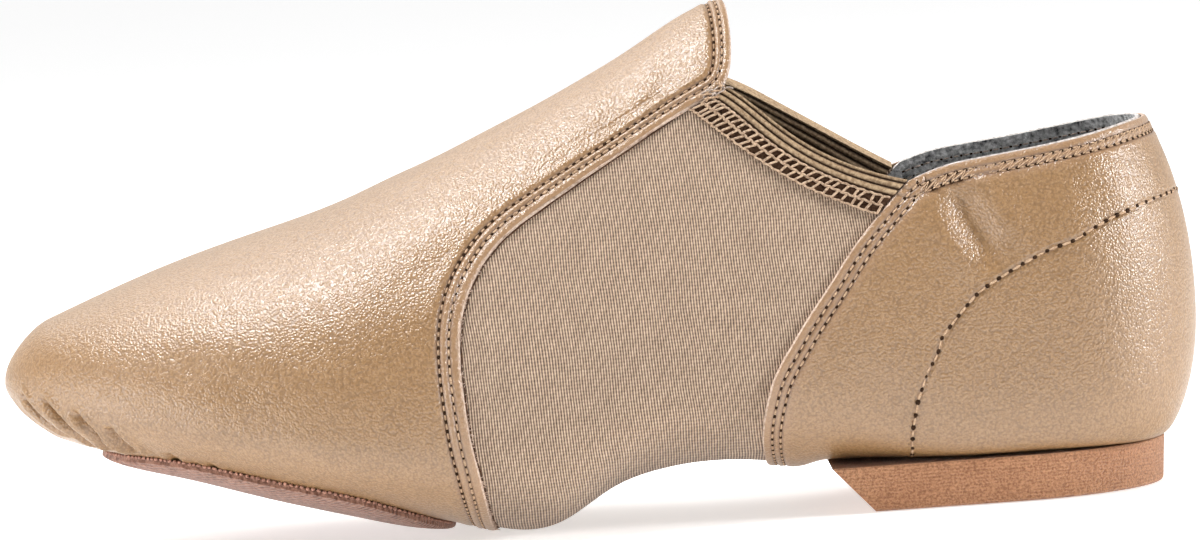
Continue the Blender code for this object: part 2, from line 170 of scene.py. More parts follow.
def spline(knots, values):
    """Natural cubic spline through the given values."""
    steps = np.diff(knots)
    last = len(knots) - 1
    system = np.eye(last + 1)
    right = np.zeros(last + 1)
    for i in range(1, last):
        system[i, i - 1:i + 2] = steps[i - 1], 2 * (steps[i - 1] + steps[i]), steps[i]
        right[i] = 6 * ((values[i + 1] - values[i]) / steps[i] - (values[i] - values[i - 1]) / steps[i - 1])
    bend = np.linalg.solve(system, right)

    def value(at):
        i = np.clip(np.searchsorted(knots, at) - 1, 0, last - 1)
        d = at - knots[i]
        slope = (values[i + 1] - values[i]) / steps[i] - steps[i] * (2 * bend[i] + bend[i + 1]) / 6
        third = (bend[i + 1] - bend[i]) / (6 * steps[i])
        return values[i] + d * slope + d ** 2 * bend[i] / 2 + d ** 3 * third

    return value


def section_splines():
    table = columns_of(SECTIONS)
    heights = np.array([{"fore": INSTEP_HEIGHT, "hind": COLLAR_HEIGHT}[e] for e in table["end"]])
    halves = np.array([{"fore": BALL_WIDTH / 2, "hind": HEEL_WIDTH / 2}[e] for e in table["end"]])
    bottom = np.array([BOTTOMS[name] for name in table["follows"]]) * table["bottom"]
    columns = {"bottom": bottom, "low": table["low"], "high": table["high"]}
    for name in ("middle", "top"):
        columns[name] = bottom + table[name] * heights
    for name in ("outer", "inner"):
        columns[name] = table[name] * halves
    return {name: spline(table["station"], column) for name, column in columns.items()}


SECTION = section_splines()
COLLAR_LINE = spline(*columns_of(COLLAR).values())
VAMP_EDGE_STATION = spline(columns_of(VAMP_EDGE)["place"], columns_of(VAMP_EDGE)["station"])
VAMP_EDGE_GIRTH = spline(columns_of(VAMP_EDGE)["place"], columns_of(VAMP_EDGE)["girth"])
QUARTER_EDGE_STATION = spline(columns_of(QUARTER_EDGE)["place"], columns_of(QUARTER_EDGE)["station"])
QUARTER_EDGE_DROP = spline(columns_of(QUARTER_EDGE)["place"], columns_of(QUARTER_EDGE)["drop"])


def closing(station, name):
    toe = np.clip(station / TOE_CLOSING[name], 0, 1)
    heel = np.clip((1 - station) / HEEL_CLOSING[name], 0, 1)
    return np.sqrt(np.maximum(1 - (1 - toe) ** 2, 0)) * np.sqrt(np.maximum(1 - (1 - heel) ** 2, 0))


def section_at(station):
    values = {name: line(station) for name, line in SECTION.items()}
    middle = values["middle"]
    half = (values["outer"] + values["inner"]) / 2 * closing(station, "width")
    centre = (values["inner"] - values["outer"]) / 2
    top = middle + (values["top"] - middle) * closing(station, "top")
    bottom = middle - (middle - values["bottom"]) * closing(station, "bottom")
    return bottom, middle, top, half, centre, values["low"], values["high"]


def last_points(station, girth):
    """Points of the last. girth runs from 0 at the ridge to 2 underneath, negative on the outer side."""
    girth = (girth + 2) % 4 - 2
    bottom, middle, top, half, centre, low, high = section_at(station)
    turn = (1 - np.abs(girth)) * math.pi / 2
    full = np.where(turn >= 0, high, low)
    across = np.abs(np.cos(turn)) ** (2 / full)
    up = np.abs(np.sin(turn)) ** (2 / full)
    y = centre + np.copysign(half * across, girth)
    z = np.where(turn >= 0, middle + (top - middle) * up, middle - (middle - bottom) * up)
    share = eased(np.clip((station - SEAT_STARTS) / (SEAT_FULL - SEAT_STARTS), 0, 1))
    flat = SEAT + SEAT_EDGE_RADIUS * np.logaddexp(0, (z - SEAT) / SEAT_EDGE_RADIUS)
    return np.stack(np.broadcast_arrays((station - 0.5) * LENGTH, y, z + (flat - z) * share), -1)


def station_of(sweep):
    return (1 - np.cos(np.pi * sweep)) / 2


def sweep_of(station):
    return np.arccos(np.clip(1 - 2 * station, -1, 1)) / np.pi


def shoe_normals(sweep, girth):
    step = NORMAL_STEP
    inside = np.clip(sweep, step, 1 - step)
    along = last_points(station_of(inside + step), girth) - last_points(station_of(inside - step), girth)
    around = last_points(station_of(inside), girth + step) - last_points(station_of(inside), girth - step)
    normal = unit(np.cross(along, around))
    ends = np.stack([np.sign(sweep - 0.5), 0 * sweep, 0 * sweep], -1)
    at_end = ((sweep < step) | (sweep > 1 - step))[..., None]
    return np.where(at_end, ends, normal)


def shoe_points(sweep, girth, offset=0.0):
    """Points at a distance outside the last, kept above the floor."""
    sweep, girth, offset = np.broadcast_arrays(sweep, girth, offset)
    points = last_points(station_of(sweep), girth) + offset[..., None] * shoe_normals(sweep, girth)
    points[..., 2] = np.maximum(points[..., 2], np.maximum(0, -offset - LEATHER))
    return points


def collar_girth(station):
    _, middle, top, _, _, _, high = section_at(station)
    height = COLLAR_HEIGHT * COLLAR_LINE(station)
    share = np.minimum((height - middle) / np.maximum(top - middle, 1e-9), 1)
    return 1 - 2 / np.pi * np.arcsin(share ** (high / 2))


def collar_back():
    low, high = COLLAR_BACK_FROM, 1.0
    for _ in range(HALVINGS):
        middle = (low + high) / 2
        low, high = (middle, high) if collar_girth(np.array(middle)) > 0 else (low, middle)
    return high


COLLAR_BACK = collar_back()


def girth_at_width(station, share):
    return 2 - 2 / np.pi * np.arcsin(np.clip(share, 0, 1) ** (SECTION["low"](station) / 2))


def along_span(station, span):
    """Place in a span of stations, from -1 at its start to 1 at its end."""
    return 2 * (station - span["start"]) / (span["end"] - span["start"]) - 1


def oval(station, span):
    along = along_span(station, span)
    return span["width"] * np.maximum(1 - np.abs(along) ** span["square"], 0) ** 0.5


def vamp_place(part, place):
    """Sweep and girth in the vamp, part 0 at the toe and 1 at its edge."""
    sweep = part * sweep_of(VAMP_EDGE_STATION(place))
    girth = (1 - part * part) * 2 * place + part * part * VAMP_EDGE_GIRTH(place)
    under = station_of(part * sweep_of(VAMP_EDGE_STATION(1.0)))
    limit = girth_at_width(under, oval(under, FOREFOOT_OPENING))
    drawn = SQUEEZE_FROM + (girth - SQUEEZE_FROM) * (limit - SQUEEZE_FROM) / (2 - SQUEEZE_FROM)
    return sweep, np.where(girth <= SQUEEZE_FROM, girth, drawn)


def flattened(sweep, girth):
    angle = np.pi / 2 * girth
    return (1 - sweep) * np.sin(angle), (1 - sweep) * np.cos(angle)


def quarter_front(fall):
    place = TONGUE_CORNER + fall * (1 - TONGUE_CORNER)
    top = collar_girth(np.array(QUARTER_EDGE[1][1]))
    girth = top + QUARTER_EDGE_DROP(place) * (2 - top)
    return flattened(sweep_of(QUARTER_EDGE_STATION(place)), girth)


def quarter_collar(part):
    start = sweep_of(QUARTER_EDGE[1][1])
    sweep = start + (sweep_of(COLLAR_BACK) - start) * (1 - (1 - part) ** 2)
    return flattened(sweep, np.where(part < 1, collar_girth(station_of(sweep)), 0))


def quarter_floor(part):
    stations = QUARTER_EDGE[-1][1], SEAT_OPENING["start"], SEAT_OPENING["end"]
    first, start, end = (sweep_of(station) for station in stations)
    along = np.clip((part - SEAT_OPENING_PART) / (1 - SEAT_OPENING_PART), 0, 1)
    closed = first + (start - first) * np.minimum(part / SEAT_OPENING_PART, 1)
    sweep = np.where(part < SEAT_OPENING_PART, closed, start + (end - start) * station_of(along))
    girth = girth_at_width(station_of(sweep), oval(station_of(sweep), SEAT_OPENING))
    return flattened(sweep, np.where(part < SEAT_OPENING_PART, 2, girth))


def quarter_place(part, place):
    """Sweep and girth in the quarter, part 0 at its front edge and 1 at the back of the heel."""
    part, place = np.broadcast_arrays(np.asarray(part, float), np.asarray(place, float))
    fall = (place - TONGUE_CORNER) / (1 - TONGUE_CORNER)
    top, floor, front = quarter_collar(part), quarter_floor(part), quarter_front(fall)
    back_top, back_floor = quarter_collar(np.array(1.0)), quarter_floor(np.array(1.0))
    front_top, front_floor = quarter_front(np.array(0.0)), quarter_front(np.array(1.0))
    across, up = [
        (1 - fall) * top[i] + fall * floor[i]
        + (1 - part) * front[i] + part * ((1 - fall) * back_top[i] + fall * back_floor[i])
        - (1 - part) * ((1 - fall) * front_top[i] + fall * front_floor[i])
        - part * ((1 - fall) * back_top[i] + fall * back_floor[i])
        for i in (0, 1)
    ]
    return 1 - np.hypot(across, up), 2 / np.pi * np.arctan2(np.maximum(across, 0), up)


def insert_place(part, place):
    """Sweep and girth in the stretch insert, between the vamp's edge and the quarter's."""
    front = sweep_of(VAMP_EDGE_STATION(place)), VAMP_EDGE_GIRTH(place)
    back = quarter_place(0.0, place)
    return tuple(f + part * (b - f) for f, b in zip(front, back))


# Meshes
SHARP_FROM = math.radians(50)
WELD = 1e-7
UNEVEN = 0.16
TUBE_SIDE = (0.31, 0.17, 0.94)
TUBE_END = 0.6


def welded(points):
    keys = np.round(points / WELD).astype(np.int64)
    _, first, index = np.unique(keys, axis=0, return_index=True, return_inverse=True)
    return index.reshape(-1), points[first]


def tidy_face(corners):
    ring = [c for i, c in enumerate(corners) if c != corners[i - 1]]
    return ring if len(set(ring)) == len(ring) and len(ring) > 2 else None


def add_mesh(name, points, faces, looks, slots=None, attributes=None):
    mesh = bpy.data.meshes.new(name)
    mesh.from_pydata(np.asarray(points).tolist(), [], faces)
    for look in looks:
        mesh.materials.append(look)
    if slots is not None:
        mesh.polygons.foreach_set("material_index", slots)
    for label, values in (attributes or {}).items():
        layer = mesh.attributes.new(label, "FLOAT", "POINT")
        layer.data.foreach_set("value", np.asarray(values, np.float32))
    piece = bpy.data.objects.new(name, mesh)
    bpy.context.scene.collection.objects.link(piece)
    mesh.shade_smooth()
    mesh.set_sharp_from_angle(angle=SHARP_FROM)
    return piece


def cell_marks(grid):
    """One zero for each cell of a grid of points."""
    return np.zeros((grid.shape[0] - 1, grid.shape[1] - 1), int)


def plate(name, outer, inner, looks, side, marks=None, rim_slot=0, attributes=None):
    """Closed plate between two grids of points. side 1 turns the faces round."""
    rows, columns = outer.shape[:2]
    count = rows * columns
    index, points = welded(np.concatenate([outer.reshape(-1, 3), inner.reshape(-1, 3)]))
    layout = np.arange(count).reshape(rows, columns)
    quads = np.stack([layout[:-1, :-1], layout[:-1, 1:], layout[1:, 1:], layout[1:, :-1]], -1).reshape(-1, 4)
    if side > 0:
        quads = quads[:, ::-1]
    cells = (cell_marks(outer) if marks is None else marks).reshape(-1)
    faces, slots, edges = [], [], set()
    for quad, slot in zip(index[quads].tolist(), cells.tolist()):
        face = tidy_face(quad)
        if face:
            faces.append(face)
            slots.append(slot)
            edges.update((face[i - 1], face[i]) for i in range(len(face)))
    for quad in index[quads[:, ::-1] + count].tolist():
        face = tidy_face(quad)
        if face:
            faces.append(face)
            slots.append(0)
    below = dict(zip(index[:count].tolist(), index[count:].tolist()))
    for a, b in sorted(edges):
        if (b, a) not in edges:
            face = tidy_face([b, a, below[a], below[b]])
            if face:
                faces.append(face)
                slots.append(rim_slot)
    extra = {}
    for label, values in (attributes or {}).items():
        held = np.zeros(len(points))
        held[index] = np.concatenate([values.reshape(-1), values.reshape(-1)])
        extra[label] = held
    return add_mesh(name, points, faces, looks, slots, attributes=extra)


def lengths_along(line):
    """Length of a polyline up to each of its points."""
    return np.concatenate([[0], np.cumsum(np.linalg.norm(np.diff(line, axis=0), axis=1))])


def resampled(points, normals, pitch, start=0.5):
    """Steady steps of one pitch along a line: places, directions and normals."""
    lengths = lengths_along(points)
    count = max(int(lengths[-1] / pitch), 1)
    at = (np.arange(count) + start) * lengths[-1] / count

    def read(values, where):
        return np.stack([np.interp(where, lengths, values[:, i]) for i in range(3)], -1)

    along = unit(read(points, at + pitch / 4) - read(points, at - pitch / 4))
    normal = read(normals, at)
    normal = unit(normal - np.sum(normal * along, axis=1, keepdims=True) * along)
    return read(points, at), along, normal


def bead_template(around=8, rings=5):
    """Unit ellipsoid along X, as points and faces."""
    points = [(-1, 0, 0)]
    for i in range(1, rings + 1):
        angle = math.pi * i / (rings + 1)
        radius = math.sin(angle)
        for j in range(around):
            turn = 2 * math.pi * j / around
            points.append((-math.cos(angle), radius * math.cos(turn), radius * math.sin(turn)))
    points.append((1, 0, 0))
    faces = [(0, 1 + (j + 1) % around, 1 + j) for j in range(around)]
    for i in range(rings - 1):
        a = 1 + i * around
        for j in range(around):
            k = (j + 1) % around
            faces.append((a + j, a + k, a + around + k, a + around + j))
    last = len(points) - 1
    a = 1 + (rings - 1) * around
    faces += [(last, a + j, a + (j + 1) % around) for j in range(around)]
    return np.array(points, float), faces


BEAD_POINTS, BEAD_FACES = bead_template()


def beads(name, groups, look):
    """One joined mesh of small ellipsoids. groups: (places, along, normals, (length, width, height))."""
    points, faces = [], []
    chance = np.random.default_rng(7)
    for place, along, normal, size in groups:
        across = np.cross(normal, along)
        half = np.array(size)[None, :] / 2 * chance.uniform(1 - UNEVEN, 1 + UNEVEN, (len(place), 3))
        axes = np.stack([along * half[:, :1], across * half[:, 1:2], normal * half[:, 2:]], 1)
        for centre, frame_axes in zip(place, axes):
            base = len(points) * len(BEAD_POINTS)
            points.append(BEAD_POINTS @ frame_axes + centre)
            faces += [tuple(c + base for c in face) for face in BEAD_FACES]
    return add_mesh(name, np.concatenate(points), faces, [look])


def ring_faces(rings, around, base=0):
    """Faces between rings of points that follow one another, without the ends."""
    faces = []
    for start in range(base, base + (rings - 1) * around, around):
        for j in range(around):
            a, b = start + j, start + (j + 1) % around
            faces.append((a, a + around, b + around, b))
    return faces


def tubes(name, lines, radius, look, around=6):
    """One joined mesh of tubes along lines of points, closed at their ends."""
    points, faces = [], []
    for line in lines:
        line = np.asarray(line, float)
        along = unit(np.gradient(line, axis=0))
        side = unit(np.cross(along, TUBE_SIDE))
        up = np.cross(side, along)
        base = len(points)
        for i in range(len(line)):
            thin = radius * (TUBE_END if i in (0, len(line) - 1) else 1)
            for j in range(around):
                turn = 2 * math.pi * j / around
                points.append(line[i] + thin * (side[i] * math.cos(turn) + up[i] * math.sin(turn)))
        faces += ring_faces(len(line), around, base)
        faces.append(tuple(base + j for j in range(around)))
        faces.append(tuple(base + (len(line) - 1) * around + j for j in reversed(range(around))))
    return add_mesh(name, points, faces, [look])


def distances(points, line):
    """Distance from each point to a polyline, and the share of its length at the nearest place."""
    points = points.reshape(-1, 3)
    best = np.full(len(points), np.inf)
    where = np.zeros(len(points))
    lengths = lengths_along(line)
    for i in range(len(line) - 1):
        step = line[i + 1] - line[i]
        share = np.clip((points - line[i]) @ step / max(step @ step, 1e-15), 0, 1)
        gap = np.linalg.norm(points - line[i] - share[:, None] * step, axis=1)
        near = gap < best
        best[near] = gap[near]
        where[near] = (lengths[i] + share[near] * (lengths[i + 1] - lengths[i])) / lengths[-1]
    return best, where


# Materials. Texture scales are in repeats a metre, bump distances and pitches in metres, colours linear.
KNIT_RIB = 0.00057
KNIT_BAND = 0.0026
KNIT_STITCH = 0.00075
HEEL_LAYER = 0.00070
SUEDE_RIB = 0.0013


class Look:
    """A procedural material, built node by node."""

    def __init__(self, name, **constants):
        self.material = bpy.data.materials.new(name)
        self.material.use_nodes = True
        self.tree = self.material.node_tree
        self.shader = self.tree.nodes["Principled BSDF"]
        for socket, value in constants.items():
            self.shader.inputs[socket.replace("_", " ")].default_value = value
        self.place = self.add("TexCoord").outputs["Object"]

    def add(self, kind, inputs=None, **settings):
        made = self.tree.nodes.new("ShaderNode" + kind)
        for name, value in settings.items():
            setattr(made, name, value)
        for name, value in (inputs or {}).items():
            if isinstance(value, bpy.types.NodeSocket):
                self.tree.links.new(value, made.inputs[name])
            else:
                made.inputs[name].default_value = value
        return made

    def noise(self, scale, detail=2.0, roughness=0.5, place=None):
        made = self.add("TexNoise", {"Vector": place or self.place, "Scale": scale, "Detail": detail})
        made.inputs["Roughness"].default_value = roughness
        return made.outputs["Fac"]

    def warped(self, scale, reach):
        """Object coordinates pushed about by a noise."""
        noise = self.add("TexNoise", {"Vector": self.place, "Scale": scale, "Detail": 1.0}).outputs["Color"]
        drift = self.add("VectorMath", {0: noise, 1: (0.5, 0.5, 0.5)}, operation="SUBTRACT").outputs[0]
        drift = self.add("VectorMath", {0: drift, 1: (reach, reach, reach)}, operation="MULTIPLY").outputs[0]
        return self.add("VectorMath", {0: self.place, 1: drift}, operation="ADD").outputs[0]

    def math(self, operation, first, second=0.0, third=0.0):
        return self.add("Math", {0: first, 1: second, 2: third}, operation=operation).outputs[0]

    def ramp(self, value, low, high, to_low=0.0, to_high=1.0):
        made = self.add("MapRange", {"Value": value, "From Min": low, "From Max": high, "To Min": to_low})
        made.inputs["To Max"].default_value = to_high
        return made.outputs["Result"]

    def wave(self, value, pitch):
        """Sine wave that repeats at each pitch."""
        return self.math("SINE", self.math("MULTIPLY", value, 2 * math.pi / pitch))

    def axes(self):
        return self.add("SeparateXYZ", {0: self.place}).outputs

    def attribute(self, name):
        return self.add("Attribute", attribute_name=name).outputs["Fac"]

    def mix(self, share, first, second):
        made = self.add("Mix", data_type="RGBA")
        sockets = [s for s in made.inputs if s.enabled]
        for socket, value in zip(sockets, (share, first, second)):
            if isinstance(value, bpy.types.NodeSocket):
                self.tree.links.new(value, socket)
            else:
                socket.default_value = (*value, 1) if isinstance(value, tuple) else value
        return [s for s in made.outputs if s.enabled][0]

    def colour(self, value):
        self.tree.links.new(value, self.shader.inputs["Base Color"])

    def rough(self, value):
        self.tree.links.new(value, self.shader.inputs["Roughness"])

    def bump(self, height, distance, strength=1.0):
        made = self.add("Bump", {"Height": height, "Distance": distance, "Strength": strength})
        self.tree.links.new(made.outputs["Normal"], self.shader.inputs["Normal"])


def leather_look():
    """Pebbled leather with a satin gloss, paler along its edges, with painted shade darkening its stitch rows
    and the groove of the heel counter's stitch row.
    """
    look = Look("tan_leather_grain", Specular_IOR_Level=1.0)
    drifting = {"Vector": look.warped(600.0, 0.0006), "Scale": 1850.0}
    pebble = look.add("TexVoronoi", drifting, feature="SMOOTH_F1")
    pebble.inputs["Smoothness"].default_value = 0.30
    cell = pebble.outputs["Distance"]
    grain = look.ramp(cell, 0.15, 0.75, 1.0, 0.0)
    wrinkles = look.noise(1500.0, 3.0, 0.6, look.warped(400.0, 0.0009))
    height = look.math("MULTIPLY_ADD", wrinkles, 0.9, grain)
    groove = look.ramp(look.attribute("seam_mm"), 0.0, 0.9, -3.2, 0.0)
    look.bump(look.math("ADD", height, groove), 0.00009, 1.0)
    broad = look.ramp(look.noise(26.0, 2.0), 0.35, 0.65)
    base = look.mix(broad, (0.252, 0.136, 0.051), (0.276, 0.152, 0.060))
    crest = look.ramp(wrinkles, 0.42, 0.60, 0.0, 0.8)
    base = look.mix(crest, base, (0.355, 0.210, 0.098))
    furrow = look.math("MULTIPLY", look.ramp(cell, 0.42, 0.76), 0.45)
    base = look.mix(furrow, base, (0.130, 0.065, 0.026))
    near_edge = look.ramp(look.attribute("edge_mm"), 4.2, 6.0, 0.55, 0.0)
    base = look.mix(near_edge, base, (0.330, 0.195, 0.105))
    # Painted shade: the grooves of the stitch rows are darkened in the colour.
    row_shade = look.ramp(look.attribute("row_mm"), 0.25, 0.75, 0.70, 0.0)
    base = look.mix(row_shade, base, (0.150, 0.080, 0.045))
    # Painted shade: the groove along the heel counter's stitch row is darkened in the colour.
    seam_groove_shade = look.ramp(look.attribute("seam_mm"), 0.15, 0.55, 0.65, 0.0)
    look.colour(look.mix(seam_groove_shade, base, (0.150, 0.078, 0.040)))
    look.rough(look.ramp(look.math("MULTIPLY_ADD", wrinkles, 0.5, cell), 0.25, 0.95, 0.27, 0.38))
    return look.material


def knit_look():
    """Fine upright ribs crossed by slanted bands."""
    look = Look("stretch_knit", Roughness=0.8, Sheen_Weight=0.2, Sheen_Roughness=0.5, Specular_IOR_Level=0.25)
    axes = look.axes()
    sway = look.math("MULTIPLY", look.noise(60.0, 1.0), 0.0012)
    x = look.math("MULTIPLY_ADD", axes[2], 0.06, look.math("ADD", axes[0], sway))
    ribs = look.wave(x, KNIT_RIB)
    slant = look.math("MULTIPLY_ADD", x, -1.25, axes[2])
    band = look.wave(slant, KNIT_BAND)
    stitches = look.wave(axes[2], KNIT_STITCH)
    fuzz = look.noise(2200.0, 3.0, 0.6)
    weave = look.math("MULTIPLY_ADD", stitches, 0.22, ribs)
    height = look.math("MULTIPLY_ADD", fuzz, 1.2, look.math("MULTIPLY_ADD", band, 0.25, weave))
    look.bump(height, 0.00016, 0.9)
    shade = look.ramp(look.math("MULTIPLY_ADD", fuzz, 1.6, weave), -0.3, 1.9)
    streaks = look.math("MULTIPLY_ADD", band, 0.45, look.math("MULTIPLY", look.noise(420.0, 3.0), 2.4))
    bright = look.ramp(streaks, 0.2, 2.2)
    dark = look.mix(bright, (0.070, 0.038, 0.023), (0.130, 0.076, 0.048))
    light = look.mix(bright, (0.560, 0.395, 0.280), (0.760, 0.570, 0.420))
    look.colour(look.mix(shade, dark, light))
    return look.material


def plain_look(name, dark, light, scale, bump, roughness, **constants):
    """Fibrous material with mottled colour and a fine nap."""
    look = Look(name, Roughness=roughness, **constants)
    mottle = look.ramp(look.noise(scale, 4.0, 0.6), 0.32, 0.68)
    look.colour(look.mix(mottle, dark, light))
    nap = look.math("MULTIPLY_ADD", look.noise(scale * 2.2, 3.0, 0.7), 0.6, look.noise(scale, 3.0, 0.6))
    look.bump(nap, bump, 0.9)
    return look.material


def elastic_look():
    """Cord-like ribs, with painted shade darkening the valleys between them."""
    look = Look("elastic_rib", Roughness=0.7, Specular_IOR_Level=0.3)
    twist = look.noise(1500.0, 3.0, 0.6)
    level = look.math("MULTIPLY_ADD", look.math("SUBTRACT", twist, 0.5), 0.35, look.attribute("rib"))
    light = look.mix(look.ramp(twist, 0.35, 0.65), (0.235, 0.150, 0.083), (0.450, 0.325, 0.198))
    # Painted shade: where the rib wave is low the colour turns a near-black brown.
    look.colour(look.mix(look.ramp(level, 0.50, 0.95), (0.050, 0.025, 0.013), light))
    look.bump(twist, 0.00012, 0.9)
    return look.material


def heel_look():
    """Orange suede over thin level layers."""
    look = Look("heel_suede", Roughness=0.9, Sheen_Weight=0.3, Sheen_Roughness=0.5, Specular_IOR_Level=0.2)
    axes = look.axes()
    level = look.math("MULTIPLY_ADD", look.noise(130.0, 2.0), 0.0007, axes[2])
    layers = look.wave(level, HEEL_LAYER)
    grain = look.noise(2100.0, 4.0, 0.7)
    height = look.math("MULTIPLY_ADD", layers, 0.15, look.math("MULTIPLY", grain, 2.0))
    look.bump(height, 0.00030, 1.0)
    dashes = look.math("MULTIPLY", layers, look.ramp(look.noise(420.0, 2.0), 0.40, 0.65))
    mottle = look.ramp(look.math("MULTIPLY_ADD", dashes, 0.05, grain), 0.36, 0.60)
    broad = look.ramp(look.noise(55.0, 2.0), 0.35, 0.65)
    light = look.mix(broad, (0.530, 0.262, 0.132), (0.610, 0.318, 0.168))
    look.colour(look.mix(mottle, (0.275, 0.112, 0.050), light))
    return look.material


def suede_look():
    """Pinkish suede of the forefoot patch, with fine slanted ribs."""
    look = Look("pink_suede", Roughness=0.95, Sheen_Weight=0.25, Sheen_Roughness=0.5, Specular_IOR_Level=0.2)
    axes = look.axes()
    across = look.math("MULTIPLY_ADD", look.noise(180.0, 2.0), 0.0010, look.math("ADD", axes[0], axes[1]))
    ribs = look.wave(across, SUEDE_RIB)
    nap = look.noise(900.0, 4.0, 0.7)
    look.bump(look.math("MULTIPLY_ADD", ribs, 0.25, look.math("MULTIPLY", nap, 1.6)), 0.00025, 0.9)
    mottle = look.ramp(look.math("MULTIPLY_ADD", ribs, 0.07, nap), 0.33, 0.66)
    look.colour(look.mix(mottle, (0.130, 0.056, 0.036), (0.370, 0.200, 0.142)))
    return look.material


LEATHER_LOOK = leather_look()
KNIT_LOOK = knit_look()
ELASTIC_LOOK = elastic_look()
HEEL_LOOK = heel_look()
RAW_LOOK = plain_look("raw_edge", (0.34, 0.22, 0.155), (0.68, 0.54, 0.44), 1500.0, 0.00014, 0.9)
LINING_LOOK = plain_look(
    "lining_felt", (0.045, 0.047, 0.049), (0.900, 0.900, 0.900), 800.0, 0.00030, 0.95, Sheen_Weight=0.4
)
FELT_EDGE_LOOK = plain_look("felt_edge", (0.34, 0.31, 0.29), (0.80, 0.76, 0.73), 1200.0, 0.00016, 0.95)
INSOLE_LOOK = plain_look("insole_felt", (0.10, 0.10, 0.105), (0.34, 0.34, 0.345), 700.0, 0.0002, 0.95)
THREAD_LOOK = plain_look("thread", (0.30, 0.175, 0.095), (0.60, 0.42, 0.27), 2500.0, 0.00006, 0.6)
PALE_THREAD_LOOK = plain_look("pale_thread", (0.17, 0.095, 0.050), (0.60, 0.43, 0.29), 1900.0, 0.00006, 0.6)
GREY_THREAD_LOOK = plain_look("grey_thread", (0.12, 0.085, 0.065), (0.62, 0.51, 0.43), 2200.0, 0.00006, 0.7)
RED_THREAD_LOOK = plain_look("red_thread", (0.16, 0.070, 0.048), (0.52, 0.270, 0.190), 1900.0, 0.00006, 0.7)
# Needle holes: near-black beads of painted shade standing in for the hollow of each hole.
HOLE_SHADE_LOOK = plain_look(
    "needle_hole", (0.016, 0.008, 0.004), (0.050, 0.025, 0.013), 1800.0, 0.00005, 0.9, Specular_IOR_Level=0.1
)
# Dark brown of the elastic's backing, partly its own colour and partly painted shade; it also colours the
# painted shadow beside the vamp's edge.
BACKING_AND_SHADE_LOOK = plain_look(
    "dark_backing_and_shade", (0.030, 0.015, 0.009), (0.130, 0.070, 0.042), 1600.0, 0.0001, 0.9,
    Specular_IOR_Level=0.1
)
SUEDE_LOOK = suede_look()


def ride(piece, slot, *nodes):
    """Put a piece on the shoe's body, in place of the solids that it shows. The slot is not used."""
    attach(piece, "root")
    if nodes:
        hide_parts(*nodes)
    return piece


# Folds and dents. stations and girths: three places along each line, girths below 0 on the outer side.
# depth and width in millimetres. The toe's folds gather the leather into the forefoot patch.
PLEATS = [
    ("stations", "girths", "depth", "width"),
    ((0.013, 0.030, 0.058), (-1.04, -1.33, -1.52), 1.9, 0.85),
    ((0.030, 0.050, 0.084), (-1.02, -1.26, -1.64), 2.3, 0.85),
    ((0.056, 0.078, 0.096), (-1.08, -1.34, -1.64), 2.1, 0.90),
    ((0.086, 0.100, 0.116), (-1.20, -1.38, -1.58), 2.7, 1.25),
    ((0.134, 0.140, 0.144), (-1.40, -1.50, -1.62), 0.8, 1.00),
    ((0.168, 0.173, 0.177), (-1.42, -1.51, -1.60), 0.5, 0.90),
    ((0.010, 0.026, 0.056), (1.04, 1.36, 1.56), 1.2, 0.95),
    ((0.026, 0.048, 0.080), (1.02, 1.28, 1.64), 1.4, 0.95),
    ((0.052, 0.074, 0.092), (1.08, 1.34, 1.64), 1.3, 1.00),
    ((0.086, 0.098, 0.108), (1.22, 1.40, 1.62), 1.5, 1.30),
    ((0.004, 0.016, 0.050), (1.70, 1.80, 1.95), 0.8, 1.00),
    ((0.004, 0.018, 0.054), (-1.66, -1.74, -1.82), 0.8, 1.00),
]
VAMP_CREASES = [
    ("stations", "girths", "depth", "width"),
    ((0.548, 0.566, 0.590), (-0.44, -0.33, -0.21), 0.50, 2.8),
    ((0.500, 0.520, 0.552), (-0.52, -0.38, -0.22), 0.35, 3.4),
    ((0.300, 0.365, 0.430), (-0.66, -0.56, -0.50), 0.30, 4.5),
    ((0.120, 0.170, 0.230), (-0.74, -0.80, -0.90), 0.30, 3.6),
    ((0.215, 0.240, 0.262), (-1.08, -1.20, -1.36), 0.40, 2.6),
    ((0.545, 0.562, 0.588), (0.42, 0.32, 0.20), 0.45, 3.0),
    ((0.300, 0.365, 0.430), (0.62, 0.55, 0.50), 0.30, 4.5),
]
QUARTER_CREASES = [
    ("stations", "girths", "depth", "width"),
    ((0.789, 0.806, 0.833), (-0.610, -0.71, -0.87), 2.10, 3.2),
    ((0.772, 0.778, 0.786), (-0.625, -0.65, -0.68), 0.70, 0.9),
    ((0.700, 0.735, 0.775), (-1.00, -1.16, -1.34), 0.35, 4.0),
    ((0.880, 0.905, 0.940), (-0.60, -0.68, -0.80), 0.30, 3.5),
    ((0.784, 0.792, 0.810), (0.62, 0.72, 0.86), 0.90, 2.9),
    ((0.880, 0.905, 0.940), (0.60, 0.68, 0.80), 0.30, 3.5),
]
FOLD_POINTS = 24
RIDGE_SHARE = 0.40
RIDGE_AWAY = 2.0
PAST_END = 1.02
PLEAT_TAPER = 0.25
VAMP_TAPER = 0.45
QUARTER_TAPER = 0.4


def line_on_shoe(stations, girths):
    """Smooth line over the shoe through three places."""
    at = np.linspace(0, 1, FOLD_POINTS)
    knots = np.array([0, 0.5, 1])
    station = spline(knots, np.array(stations, float))(at)
    girth = spline(knots, np.array(girths, float))(at)
    return shoe_points(sweep_of(station), girth)


